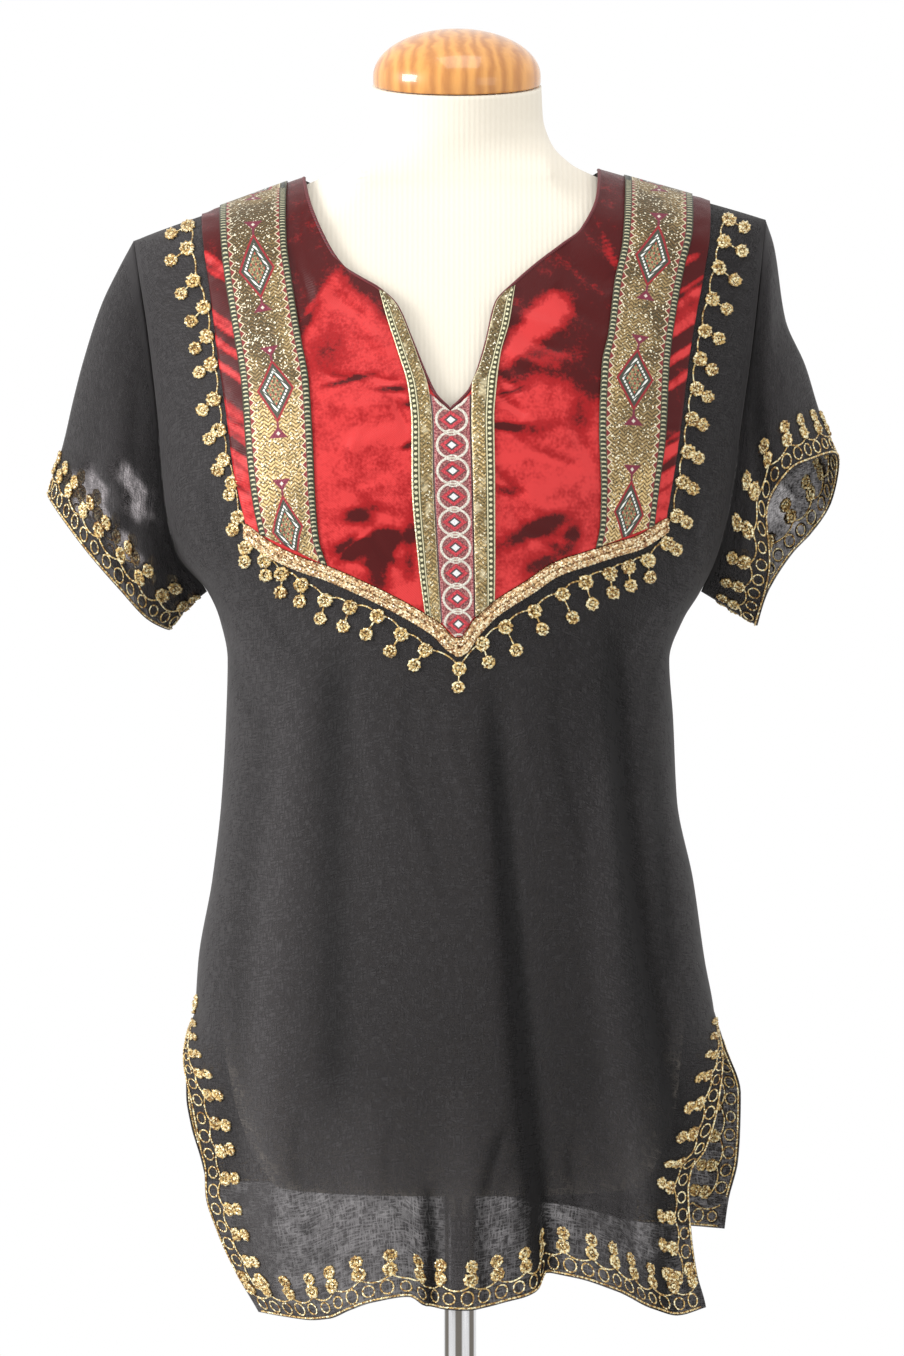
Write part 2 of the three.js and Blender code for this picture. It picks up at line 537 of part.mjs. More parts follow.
// A wall over a split grid. The extra last column stands in for the right half's middle.
function splitWall(name, material, sheet, toPoint, splitRow, middle, options) {
  const { points, width } = splitGrid(sheet, toPoint, splitRow, middle);
  const { lift = 0, thickness = WALL } = options;
  const ownSlot = (row, column, right) => (right && column === middle && row > splitRow ? width : column);
  const at = (row, column, right) => points[row][ownSlot(row, column, right)];
  const layers = { outside: [], inside: [] };
  const height = points.length;
  points.forEach((line, row) => line.forEach((point, slot) => {
    const right = slot === width || slot > middle;
    const column = slot === width ? middle : slot;
    const cut = row > splitRow;
    const low = cut && right ? middle : 0;
    const high = cut && !right ? middle : width - 1;
    const across = direction((c) => at(row, c, right), column, low, high);
    const up = direction((r) => at(r, column, right), row, 0, height - 1);
    const normal = up.cross(across).normalize();
    if (normal.dot(frontwards(point)) < 0) normal.negate();
    alongSeam(normal, point, row === height - 1, column % (width - 1) === 0);
    layers.outside.push(point.clone().addScaledVector(normal, lift > 0 ? lift + thickness : 0));
    layers.inside.push(point.clone().addScaledVector(normal, lift > 0 ? lift : -thickness));
  }));
  const slot = (row, column, right) => row * (width + 1) + ownSlot(row, column, right);
  const quads = [];
  for (let row = 0; row < height - 1; row += 1) {
    for (let column = 0; column < width - 1; column += 1) {
      const right = column >= middle;
      quads.push([slot(row, column, right), slot(row, column + 1, right),
        slot(row + 1, column + 1, right), slot(row + 1, column, right)]);
    }
  }
  return closedMesh(name, material, layers.outside, layers.inside, quads, frontwards);
}
const frontSheet = frontPanel();
blouse.add(splitWall('front_panel', voile, frontSheet, onFront, LOWER_ROWS, MIDDLE, {}));

// ---- back panel --------------------------------------------------------------------------
const BACK_COLUMNS = 26;
const BACK_LEVELS = rowLevels(19, 7, 0.94);
const BACK_TOP = [
  { share: -1, x: -212, z: 855.7 }, { share: -0.52, x: -101, z: 895.3 }, { share: -0.42, x: -84, z: 891 },
  { share: 0, x: -4, z: 884 }, { share: 0.42, x: 74, z: 893 }, { share: 0.52, x: 89.7, z: 900.5 },
  { share: 1, x: 198.2, z: 869.6 },
];

function backPanel() {
  const grid = [];
  for (const level of BACK_LEVELS) {
    const line = [];
    for (let column = 0; column <= BACK_COLUMNS; column += 1) {
      const share = (2 * column) / BACK_COLUMNS - 1;
      const side = share < 0 ? 'left' : 'right';
      const eased = Math.sign(share) * spread(Math.abs(share));
      const top = { x: read(BACK_TOP, 'share', 'x', eased), z: read(BACK_TOP, 'share', 'z', eased) };
      const seam = Math.abs(eased) >= 0.52;
      if (seam) top.z = shoulderZ(top.x);
      const ease = (z) => mix(centreX(z), panelEdge(BACK_EDGE, side, z), Math.abs(eased));
      const hem = read(BACK_HEM, 'x', 'z', ease(205));
      const z = mix(hem, top.z, level);
      const x = mix(ease(z), top.x, smooth((level - 0.55) / 0.45) * (1 - Math.abs(eased) ** 8));
      const y = seam && level === 1 ? SHOULDER_Y : clothY(BACK, x, z);
      line.push(new THREE.Vector3(x, y + SEAM, z));
    }
    grid.push(line);
  }
  return grid;
}
const backGrid = backPanel();
blouse.add(wall('back_panel', voile, backGrid, { outwards: leaving(1) }));

// ---- sleeves: rings from the armhole to the cuff --------------------------------------------
const SLEEVE_SIDES = 28;
const SLEEVE_RINGS = 10;

// The armhole's edge on each side: the points of the front's and the back's own side columns.
function armholeEdge(lines, side) {
  return lines.map((line) => line[side < 0 ? 0 : line.length - 1]).filter(({ z }) => z > ARMPIT - 30);
}

// A place on that edge at a height, straight between its points as the panel's wall is.
function onArmhole(edge, z) {
  const above = Math.max(1, edge.findIndex((point) => point.z >= z));
  const [low, high] = [edge[above - 1], edge[above]];
  return low.clone().lerp(high, clamp01((z - low.z) / (high.z - low.z)));
}

function sleeve({ name, side, top, under, cuff, folds }) {
  const front = armholeEdge(frontSheet.grid.map((line) => line.map(onFront)), side);
  const back = armholeEdge(backGrid, side);
  const cuffCurve = new THREE.CatmullRomCurve3(cuff.map(({ x, y, z }) => new THREE.Vector3(x, y, z)), true);
  const topCurve = new THREE.CatmullRomCurve3(top.map(({ x, z }) => new THREE.Vector3(x, 0, z)));
  const underCurve = new THREE.CatmullRomCurve3(under.map(({ x, z }) => new THREE.Vector3(x, 0, z)));
  const [shoulder, armpit] = [top[0], under[0]];
  const grid = [];
  for (let ring = 0; ring < SLEEVE_RINGS; ring += 1) {
    const along = ring / (SLEEVE_RINGS - 1);
    const line = [];
    for (let step = 0; step < SLEEVE_SIDES; step += 1) {
      const angle = (2 * Math.PI * step) / SLEEVE_SIDES;
      const drop = (1 - Math.cos(angle)) / 2;
      const z = mix(shoulder.z - 0.2, armpit.z + 0.2, drop);
      const start = onArmhole(angle < Math.PI ? front : back, z);
      start.x += side * 2 * SEAM;
      const end = cuffCurve.getPoint(step / SLEEVE_SIDES);
      const point = start.clone().lerp(end, along);
      const topBow = topCurve.getPointAt(along).sub(new THREE.Vector3(mix(shoulder.x, cuff[0].x, along), 0,
        mix(shoulder.z, cuff[0].z, along)));
      const underEnd = under[under.length - 1];
      const underBow = underCurve.getPointAt(along).sub(new THREE.Vector3(mix(armpit.x, underEnd.x, along), 0,
        mix(armpit.z, underEnd.z, along)));
      point.addScaledVector(topBow, (1 - drop) ** 1.5).addScaledVector(underBow, drop ** 1.5);
      const bulge = 9 * Math.sin(Math.PI * along) * Math.sin(angle);
      const fold = foldDepth(folds, point.x, point.z) * smooth(along * 3) * Math.max(0, Math.sin(angle));
      point.y -= bulge + fold;
      line.push(point);
    }
    grid.push(line);
  }
  const middle = new THREE.Vector3(side * 200, 0, 720);
  return wall(name, voile, grid, {
    ring: true,
    outwards: (point) => new THREE.Vector3(point.x - middle.x, point.y * 3, (point.z - middle.z) * 0.4),
  });
}
SLEEVES.forEach((row) => blouse.add(sleeve(row)));

// ---- yoke, ribbons, centre trim and braid, made from the front's surface moved out --------------
const BRAID_POINT = -0.9; // x of the chevron's point
const braidZ = (x) => read(BRAID_LINE, 'x', 'z', x);
const braidHalf = (x) => {
  const slope = Math.abs(x - BRAID_POINT) < 2 ? 0.9 : (braidZ(x + 2) - braidZ(x - 2)) / 4;
  return (BRAID_WIDTH / 2) * Math.hypot(1, slope);
};
const aboveBraid = (x) => braidZ(x) + braidHalf(x) + 2.5 * SEAM;
const seated = (edge) => [{ x: edge[0].x, z: aboveBraid(edge[0].x) }, ...edge.slice(1)];
const YOKE_HALF = 12;
const YOKE_LOW_ROWS = 6;
const YOKE_SPLIT = 0.42; // share of the outer edge's height that faces the neckline's point
const YOKE_SIDES = [
  { edge: seated(YOKE_EDGE_LEFT), neckline: NECKLINE_LEFT, side: -1 },
  { edge: seated(YOKE_EDGE_RIGHT), neckline: NECKLINE_RIGHT, side: 1 },
];

function yoke() {
  const foot = { x: BRAID_POINT, z: aboveBraid(BRAID_POINT) };
  const grid = [];
  const rightHalf = [];
  for (let row = 0; row < YOKE_LOW_ROWS + UPPER_LEVELS.length; row += 1) {
    const lower = row <= YOKE_LOW_ROWS;
    const t = lower ? row / YOKE_LOW_ROWS : UPPER_LEVELS[row - YOKE_LOW_ROWS];
    const line = [];
    const twin = [];
    YOKE_SIDES.forEach(({ edge, neckline, side }) => {
      const outer = onEdge(edge, lower ? YOKE_SPLIT * t : mix(YOKE_SPLIT, 1, t));
      const centre = { x: mix(foot.x, V_POINT.x, t), z: mix(foot.z, V_POINT.z, t) };
      const inner = lower ? centre : onEdge(neckline, t);
      for (let step = 0; step <= YOKE_HALF; step += 1) {
        const share = step / YOKE_HALF;
        const x = mix(inner.x, outer.x, share);
        let z = mix(inner.z, outer.z, share);
        if (lower) z += (1 - t) * (aboveBraid(mix(foot.x, edge[0].x, share)) - mix(foot.z, edge[0].z, share));
        if (t === 1 && !lower) z = shoulderZ(x);
        const point = { x, z, seam: t === 1 && !lower };
        if (side < 0) line[YOKE_HALF - step] = point;
        else twin[step] = point;
      }
    });
    grid.push([...line, ...twin.slice(1)]);
    if (!lower) rightHalf.push(twin[0]);
  }
  return splitWall('yoke', satin, { grid, rightHalf }, onFront, YOKE_LOW_ROWS, YOKE_HALF,
    { lift: TRIM_LIFT, thickness: TRIM_WALL });
}
blouse.add(yoke());

const ON_YOKE = 2 * TRIM_LIFT + TRIM_WALL;
const RIBBON_COLUMNS = 4;
function ribbon({ name, levels, outer, inner }) {
  const grid = levels.map((level) => {
    const from = onEdge(seated(outer), level);
    const to = onEdge(seated(inner), level);
    const seam = level === 1 && to.z > 880;
    return Array.from({ length: RIBBON_COLUMNS + 1 }, (_, column) => {
      const x = mix(from.x, to.x, column / RIBBON_COLUMNS);
      const z = mix(from.z, to.z, column / RIBBON_COLUMNS);
      return onFront({ x, z: seam ? shoulderZ(x) : z, seam });
    });
  });
  return wall(name, goldRibbon, grid, { lift: ON_YOKE, thickness: TRIM_WALL, outwards: frontwards });
}
RIBBONS.forEach((row) => blouse.add(ribbon(row)));

function centreTrim() {
  const [left, right] = [RIBBONS[2].inner, RIBBONS[3].inner];
  const rows = 12;
  const grid = [];
  for (let row = 0; row <= rows; row += 1) {
    const t = row / rows;
    const line = [];
    for (let column = -2; column <= 2; column += 1) {
      const side = column < 0 ? left : right;
      const rise = Math.abs(column) / 2;
      const foot = aboveBraid(mix(BRAID_POINT, side[0].x, rise)) + SEAM * 3;
      const z = mix(foot, mix(V_POINT.z, 749, rise), t);
      const edge = read(side, 'z', 'x', z) - Math.sign(column) * SEAM * 1.6;
      line.push(onFront({ x: mix(mix(BRAID_POINT, V_POINT.x, t), edge, rise), z }));
    }
    grid.push(line);
  }
  const thickness = TRIM_WALL * 1.2;
  return wall('centre_trim', wovenTrim, grid, { lift: ON_YOKE, thickness, outwards: frontwards });
}
blouse.add(centreTrim());

function braid() {
  const steps = 30;
  const [start, end] = [BRAID_LINE[0].x, BRAID_LINE[BRAID_LINE.length - 1].x];
  const grid = [];
  for (let step = 0; step <= steps; step += 1) {
    const x = step <= steps / 2 ? mix(start, BRAID_POINT, (2 * step) / steps)
      : mix(BRAID_POINT, end, (2 * step) / steps - 1);
    grid.push([-1, 0, 1].map((share) => onFront({ x, z: braidZ(x) + share * braidHalf(x) })));
  }
  return wall('braid', goldBraid, grid, { lift: TRIM_LIFT, thickness: BRAID_WALL, outwards: frontwards });
}
blouse.add(braid());

// ---- dress form ----------------------------------------------------------------------------
const FORM_SIDES = 32;
const FORM_LEVELS = [243, 252, 275, 300, 335, 370, 405, 440, 470, 500, 530, 560, 590, 620, 650, 680, 710, 740,
  770, 800, 822, 840, 852, 861, 870, 879, 887, 894, 901, 909, 920, 935, NECK_TOP];

// The form's own side at a height: its table up to the bust, then just inside the blouse.
function formSide(column, z) {
  const side = column === 'left' ? -1 : 1;
  const inset = 30 * (1 - smooth((z - 720) / 110)) + 5;
  const shoulder = read(BODY, 'z', column, z) - side * inset;
  const own = z < 740 ? read(FORM, 'z', column, z) : shoulder;
  return mix(own, z < 740 ? own : shoulder, smooth((z - 700) / 40));
}

function formLimit(side, z) {
  const widest = formSide(side < 0 ? 'left' : 'right', z);
  const line = SHOULDER_LINE.filter(({ x, z: height }) => x * side > 0 && height < 1040)
    .map(({ x, z: height }) => ({ x: Math.abs(x) - CLEARANCE, z: height - CLEARANCE }))
    .sort((a, b) => a.z - b.z);
  if (z < line[0].z) return widest;
  return side * Math.min(Math.abs(widest), read(line, 'z', 'x', z));
}

function formY(face, x, z) {
  const middle = centreX(z);
  const column = x < middle ? 'left' : 'right';
  const half = Math.abs(formSide(column, z) - middle);
  const oval = (1 - Math.min(1, Math.abs(x - middle) / half) ** ROUNDNESS) ** (1 / ROUNDNESS);
  const shell = face === 'front' ? -1 : 1;
  const blouseDepth = read(BODY, 'z', face, z) - shell * CLEARANCE * 1.3;
  const own = mix(read(FORM, 'z', face, z), blouseDepth, smooth((z - 700) / 40));
  const below = shoulderZ(x) - CLEARANCE - z;
  const roll = Math.sqrt(1 - (1 - clamp01(below / SHOULDER_ROLL)) ** 2);
  return mix(SHOULDER_Y, own * oval, roll);
}

function formTorso() {
  const points = [];
  for (const z of FORM_LEVELS) {
    const [left, right] = [formLimit(-1, z), formLimit(1, z)];
    for (let step = 0; step < FORM_SIDES; step += 1) {
      const angle = (2 * Math.PI * step) / FORM_SIDES;
      const x = mix(left, right, (1 - Math.cos(angle)) / 2);
      const face = angle < Math.PI ? 'front' : 'back';
      const tip = step === 0 || step === FORM_SIDES / 2;
      const nearNeck = smooth((z - 890) / 32);
      const round = -Math.sin(angle) * (face === 'front' ? NECK_DEPTH : NECK_DEPTH + 4);
      const body = tip ? (formY('front', x, z) + formY('back', x, z)) / 2 : formY(face, x, z);
      points.push(new THREE.Vector3(x, mix(body, NECK_Y + round, nearNeck), z));
    }
  }
  const levels = FORM_LEVELS.length;
  const triangles = [];
  const corner = (level, step) => level * FORM_SIDES + (step % FORM_SIDES);
  for (let level = 0; level < levels - 1; level += 1) {
    for (let step = 0; step < FORM_SIDES; step += 1) {
      const [a, b] = [corner(level, step), corner(level, step + 1)];
      const [c, d] = [corner(level + 1, step + 1), corner(level + 1, step)];
      triangles.push(a, b, c, a, c, d);
    }
  }
  const foot = points.length;
  points.push(new THREE.Vector3(0, 0, FORM_BOTTOM), new THREE.Vector3(CAP_X, NECK_Y, NECK_TOP));
  for (let step = 0; step < FORM_SIDES; step += 1) {
    triangles.push(foot, corner(0, step + 1), corner(0, step));
    triangles.push(foot + 1, corner(levels - 1, step), corner(levels - 1, step + 1));
  }
  return solid('form_torso', jersey, points, triangles);
}
blouse.add(formTorso());

// ---- neck cap, pole and base ------------------------------------------------------------------
// A turned solid from rows of radius and height, on its own axis.
function turned(name, material, rows, sides, place) {
  const profile = rows.map(([radius, height]) => new THREE.Vector2(radius, height));
  const geometry = new THREE.LatheGeometry(profile, sides);
  geometry.rotateX(Math.PI / 2);
  const mesh = new THREE.Mesh(geometry, material);
  mesh.name = name;
  mesh.position.set(...place);
  return mesh;
}

const capRows = [[0, 0], [CAP_RADIUS - 2, 0], [CAP_RADIUS, 3], [CAP_RADIUS, 6]];
for (let step = 1; step <= 6; step += 1) {
  const angle = (step * Math.PI) / 12;
  capRows.push([CAP_RADIUS * Math.cos(angle), 6 + (CAP_RISE - 6) * Math.sin(angle)]);
}
capRows[capRows.length - 1][0] = 0;
blouse.add(turned('neck_cap', pine, capRows, 32, [CAP_X, NECK_Y, NECK_TOP + SEAM]));

const poleTop = FORM_BOTTOM - SEAM;
const poleFoot = BASE_THICKNESS + SEAM;
const poleRows = [[0, poleFoot], [POLE_DIAMETER / 2, poleFoot], [POLE_DIAMETER / 2, poleTop], [0, poleTop]];
blouse.add(turned('pole', steel, poleRows, 24, [0, 0, 0]));

const collarRadius = 21;
const collarRows = [
  [POLE_DIAMETER / 2 + SEAM, poleFoot], [collarRadius, poleFoot], [collarRadius, poleFoot + 6],
  [POLE_DIAMETER / 2 + 5, poleFoot + 22], [POLE_DIAMETER / 2 + SEAM, poleFoot + 22],
  [POLE_DIAMETER / 2 + SEAM, poleFoot],
];
blouse.add(turned('pole_collar', steel, collarRows, 24, [0, 0, 0]));

const rim = BASE_DIAMETER / 2;
const baseRows = [[0, 0], [rim, 0], [rim, BASE_THICKNESS - 3], [rim - 1, BASE_THICKNESS - 1],
  [rim - 3, BASE_THICKNESS], [0, BASE_THICKNESS]];
blouse.add(turned('base_plate', steel, baseRows, 48, [0, 0, 0]));

export default blouse;
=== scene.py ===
import math

import bpy
import numpy as np
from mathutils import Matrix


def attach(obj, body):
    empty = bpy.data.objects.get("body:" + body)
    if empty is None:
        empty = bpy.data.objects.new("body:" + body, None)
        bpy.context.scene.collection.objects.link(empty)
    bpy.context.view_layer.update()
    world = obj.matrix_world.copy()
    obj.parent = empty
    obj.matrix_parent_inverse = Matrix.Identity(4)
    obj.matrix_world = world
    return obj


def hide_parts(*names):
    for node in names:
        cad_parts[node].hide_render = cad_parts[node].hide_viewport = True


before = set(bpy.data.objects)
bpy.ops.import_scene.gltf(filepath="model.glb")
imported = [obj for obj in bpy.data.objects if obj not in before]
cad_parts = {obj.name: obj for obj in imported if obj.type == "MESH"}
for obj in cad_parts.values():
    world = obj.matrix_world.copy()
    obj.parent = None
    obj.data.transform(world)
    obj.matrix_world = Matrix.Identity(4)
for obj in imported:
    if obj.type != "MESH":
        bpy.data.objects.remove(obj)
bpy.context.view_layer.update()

# ---- camera ------------------------------------------------------------------------------
# Level with the waist, straight in front of the blouse, from three and a half metres away.
camera = bpy.data.cameras.new("camera")
camera.lens = 143
camera.sensor_width = 36
camera_object = bpy.data.objects.new("camera", camera)
camera_object.location = (-0.0052, -3.5, 0.571)
camera_object.rotation_euler = (math.pi / 2, 0, 0)
bpy.context.scene.collection.objects.link(camera_object)
bpy.context.scene.camera = camera_object

# ---- front of the blouse -----------------------------------------------------------------
# One panel of black cotton voile from the hem to the shoulder seams, with a low-cut front
# neckline. It hangs from the bust in long soft folds and is open at both side slits.
MM = 0.001
CLOTH = 0.7  # thickness, mm
SHOULDER_Y = 8.0
SHOULDER_ROLL = 40.0
SLIT_TOP = 355.0
SLIT_FLARE = 0.76  # beside the slits the cloth hangs flat beyond this share of its half width
OVAL = 2.3  # exponent of the section, which is an oval a little fuller than an ellipse
ARMPIT = 627.0
V_POINT = (-6.3, 739.0)
SHOULDER_TIPS = ((-212, 855.7), (198.2, 869.6))
BODY_LEFT = [
    (150, -176), (250, -176), (355, -172), (388, -170), (440, -161), (492, -155), (545, -152),
    (583, -151), (609, -156), (627, -163.8), (651, -182), (687, -189.8), (740, -194.5),
    (770, -198), (800, -202), (830, -207), (860, -212.5), (890, -217), (925, -221), (960, -221),
]
BODY_RIGHT = [
    (150, 174), (250, 174), (355, 165), (388, 159), (440, 151.5), (492, 141), (545, 138.5),
    (583, 136), (609, 145), (627, 156), (651, 166), (687, 174), (740, 181.5), (770, 186),
    (800, 190), (830, 193.5), (860, 197), (890, 201), (925, 205), (960, 205),
]
BODY_FRONT = [
    (150, -136), (250, -137), (355, -135), (388, -134), (440, -132), (492, -130), (545, -129.5),
    (583, -131), (609, -132), (627, -133), (651, -134), (687, -134), (740, -125), (770, -114),
    (800, -101), (830, -87), (860, -72), (890, -58), (925, -53), (960, -52),
]
FRONT_EDGE_LEFT = [
    (154, -122), (166, -128), (192, -143), (218, -155), (243, -162.5), (258, -163),
    (271, -166), (299, -171.5), (330, -177.5), (355, -172),
]
FRONT_EDGE_RIGHT = [
    (154, 150), (166, 157), (192, 151), (218, 147.5), (243, 146), (258, 148), (271, 157),
    (299, 165), (330, 168.5), (355, 165),
]
FRONT_HEM = [
    (-130, 167), (-100, 166), (-83, 168.5), (-67, 175.5), (-52, 181), (-30, 184.5), (-20, 178),
    (4, 176.5), (31, 181.5), (50, 187), (57, 198), (77, 195), (102, 185.5), (122, 172.5),
    (138, 166.5), (157, 170),
]
SHOULDER_LINE = [
    (-225, 850.5), (-212, 855.7), (-101, 895.3), (-80, 906), (-67, 922), (-61.5, 940),
    (-60, 975), (-54, 1040), (50, 1040), (56, 975), (57.5, 940), (63, 922), (74, 909),
    (89.7, 900.5), (198.2, 869.6), (210, 866),
]
NECKLINE_LEFT = [
    (739, -6.3), (748.1, -15.4), (759.5, -21.1), (784.9, -31.3), (805.9, -40.4), (817, -51.8),
    (824.5, -64.3), (831.5, -74.5), (852, -87.3), (874.8, -96.3), (895.3, -101),
]
NECKLINE_RIGHT = [
    (739, -6.3), (744.8, 0.3), (752.6, 6.7), (781.6, 16.4), (807.5, 22.8), (821.6, 35.8),
    (833.8, 49.5), (846, 65.1), (855.6, 77), (879.1, 87.7), (900.5, 89.7),
]
# Long folds: top, middle and foot (x, z), depth at the top and at the foot (- is inwards), width.
FRONT_FOLDS = [
    ((17, 590), (32, 409), (54, 180), -3, -11, 8),
    ((-99, 610), (-118, 440), (-120, 190), 3, 7, 14),
    ((-117, 560), (-134, 433), (-142, 260), -3, -2.4, 12),
    ((-79, 610), (-80, 490), (-79, 330), -3, -3, 15),
    ((94, 620), (103, 484), (131, 300), -5, -8, 9),
    ((124, 540), (127, 470), (131, 395), -2, -3, 6),
    ((89, 560), (91, 400), (112, 235), 3, 5, 10),
    ((-20, 260), (-18, 215), (-19, 165), -3, -8, 5),
    ((32, 300), (16, 257), (14, 190), -2, -4, 4),
    ((-62, 330), (-60, 250), (-58, 150), 0, 9, 24),
    ((3, 340), (2, 250), (0, 150), 0, 8, 15),
    ((92, 330), (90, 250), (86, 150), 0, 9, 20),
    ((126, 260), (128, 215), (130, 160), -2, -7, 9),
]
# Small creases: from (x, z) to (x, z), width, height (- is a furrow).
FRONT_CREASES = [
    (-150, 612, -118, 560, 3.0, 1.2), (-146, 590, -120, 520, 3.5, -1.4), (-128, 632, -96, 566, 3.5, -1.3),
    (138, 600, 112, 548, 3.2, -1.5), (132, 618, 100, 580, 3.0, 1.2), (128, 560, 108, 500, 2.8, -1.2),
    (-30, 580, -18, 420, 4.5, -1.0), (-6, 560, 2, 470, 3.5, 0.8), (40, 580, 46, 470, 3.5, 0.9),
    (66, 600, 70, 430, 4.0, -1.1), (-58, 590, -56, 470, 4.0, 0.9), (-160, 700, -150, 640, 3.0, -1.2),
    (152, 720, 140, 650, 3.0, -1.2), (160, 690, 150, 640, 2.5, 1.0), (-146, 360, -132, 270, 3.0, 1.4),
    (142, 360, 124, 250, 3.2, 1.4), (-100, 300, -96, 200, 3.4, -1.5), (-40, 300, -44, 205, 3.0, -1.2),
    (-84, 250, -78, 196, 2.4, 1.2), (72, 290, 70, 215, 2.6, -1.6), (40, 270, 30, 200, 2.6, 1.4),
    (104, 262, 98, 205, 2.4, -1.5), (84, 250, 78, 212, 2.0, 1.2), (112, 300, 104, 240, 2.6, 1.0),
]
# Places near the hem where light comes through: x, z, half width, half height, how clear.
FRONT_SHEER = [
    (-71, 212, 46, 38, 1.0), (-14.7, 200, 2.2, 46, 0.7), (11, 200, 1.6, 46, 0.7),
    (24.7, 231, 7.8, 16, 0.45), (62, 234, 14, 12, 0.5), (120.5, 218, 10, 14, 0.8),
    (-140.5, 251, 6, 6, 0.5),
]


def curve(table, at):
    """A smooth line through a table's pairs that never overshoots them."""
    keys, values = np.array(table, float).T
    at = np.clip(at, keys[0], keys[-1])
    slopes = np.diff(values) / np.diff(keys)
    product = slopes[:-1] * slopes[1:]
    total = np.where(product > 0, slopes[:-1] + slopes[1:], 1.0)
    inner = np.where(product > 0, 2 * product / total, 0.0)
    tangents = np.concatenate(([slopes[0]], inner, [slopes[-1]]))
    i = np.clip(np.searchsorted(keys, at, side="right") - 1, 0, len(keys) - 2)
    run = keys[i + 1] - keys[i]
    t = (at - keys[i]) / run
    start = values[i] * (1 + 2 * t) * (1 - t) ** 2 + tangents[i] * run * t * (1 - t) ** 2
    end = values[i + 1] * t * t * (3 - 2 * t) - tangents[i + 1] * run * t * t * (1 - t)
    return start + end


def mix(a, b, t):
    return a + (b - a) * t


def ease(value):
    value = np.clip(value, 0, 1)
    return value * value * (3 - 2 * value)


def shoulder_height(x):
    return np.interp(x, *np.array(SHOULDER_LINE, float).T)


def fold_depth(folds, x, z):
    """How far the long folds push the cloth out (+) or in (-)."""
    depth = np.zeros(np.broadcast(x, z).shape)
    for top, middle, low, head, foot, width in folds:
        t = (top[1] - z) / (top[1] - low[1])
        share = np.clip(t, 0, 1)
        at_middle = (top[1] - middle[1]) / (top[1] - low[1])
        bow = (middle[0] - mix(top[0], low[0], at_middle)) / (at_middle * (1 - at_middle))
        centre = mix(top[0], low[0], share) + bow * share * (1 - share)
        beyond = np.where(t > 1, np.maximum(0, 1 - (t - 1) * 6), 1)
        profile = np.exp(-(((x - centre) / width) ** 2))
        depth += mix(head, foot, share) * ease(t * 5) * beyond * profile
    return depth


def crease_height(creases, x, z):
    """Height of the small creases at a place, each fading out at both its ends."""
    height = np.zeros(np.broadcast(x, z).shape)
    for x1, z1, x2, z2, width, rise in creases:
        length = math.hypot(x2 - x1, z2 - z1)
        ux, uz = (x2 - x1) / length, (z2 - z1) / length
        along = ((x - x1) * ux + (z - z1) * uz) / length
        away = (x - x1) * -uz + (z - z1) * ux + 0.05 * length * np.sin(along * 5)
        fade = np.sin(np.pi * np.clip(along, 0, 1)) ** 0.7
        height += rise * fade * np.exp(-((away / width) ** 2))
    return height


def body_edge(side, z):
    return curve(BODY_LEFT if side < 0 else BODY_RIGHT, z)


def centre_x(z):
    return (body_edge(-1, z) + body_edge(1, z)) / 2


def panel_edge(panel, side, z):
    """x of a panel's side: the side seam, or the free edge below the slit's top."""
    return np.where(z < SLIT_TOP, curve(panel["edges"][side > 0], z), body_edge(side, z))


def oval(across):
    """Depth of the body's oval section at a share of its half width, from 1 to 0."""
    return (1 - across ** OVAL) ** (1 / OVAL)


def shoulder_roll(depth, below):
    """Rolls a depth over the shoulder, below being the height left up to the shoulder line."""
    roll = np.sqrt(1 - (1 - np.clip(below / SHOULDER_ROLL, 0, 1)) ** 2)
    return mix(SHOULDER_Y, depth, roll)


def cloth_depth(panel, x, z):
    """y of the cloth's outside: an oval section, long folds, and the roll over the shoulder."""
    middle = centre_x(z)
    edge = np.where(x < middle, panel_edge(panel, -1, z), panel_edge(panel, 1, z))
    fullness = 1 + 0.035 * ease((z - ARMPIT) / 50) + 0.03 * ease((SLIT_TOP - z) / 60)
    across = np.minimum(1, np.abs(x - middle) / (np.abs(edge - middle) * fullness))
    slope = SLIT_FLARE ** (OVAL - 1) * (1 - SLIT_FLARE ** OVAL) ** (1 / OVAL - 1)
    flat = np.where(across > SLIT_FLARE, oval(SLIT_FLARE) - slope * (across - SLIT_FLARE), oval(across))
    section = mix(oval(across), flat, ease((SLIT_TOP - z) / 60))
    fold = fold_depth(panel["folds"], x, z) + crease_height(panel["creases"], x, z)
    depth = curve(panel["depth"], z) * section + fold * (1 - across ** 4) * panel["facing"]
    return shoulder_roll(depth, shoulder_height(x) - z)


FRONT = {
    "edges": (FRONT_EDGE_LEFT, FRONT_EDGE_RIGHT), "depth": BODY_FRONT,
    "folds": FRONT_FOLDS, "creases": FRONT_CREASES, "facing": -1,
}


def front_point(x, z, lift=0.0):
    """A point of the front, moved out from its surface by lift. All in mm."""
    x, z = np.broadcast_arrays(np.asarray(x, float), np.asarray(z, float))
    y = cloth_depth(FRONT, x, z)
    step = 0.7
    below = np.where(shoulder_height(x) - z < 2 * step, -step, step)
    slope_x = (cloth_depth(FRONT, x + step, z) - cloth_depth(FRONT, x - step, z)) / (2 * step)
    slope_z = (cloth_depth(FRONT, x, z + below) - y) / below
    normal = np.stack([slope_x, -np.ones_like(x), slope_z], -1)
    normal /= np.linalg.norm(normal, axis=-1, keepdims=True)
    return np.stack([x, y, z], -1) + normal * np.asarray(lift)[..., None]


def crowded(share, even_rows, close_rows):
    """Rising shares from 0 to 1: even steps up to a share, and closer and closer from there."""
    close = 1 - (1 - share) * (1 - np.linspace(0, 1, close_rows + 1)) ** 2
    return np.concatenate([np.linspace(0, share, even_rows + 1), close[1:]])[:, None]


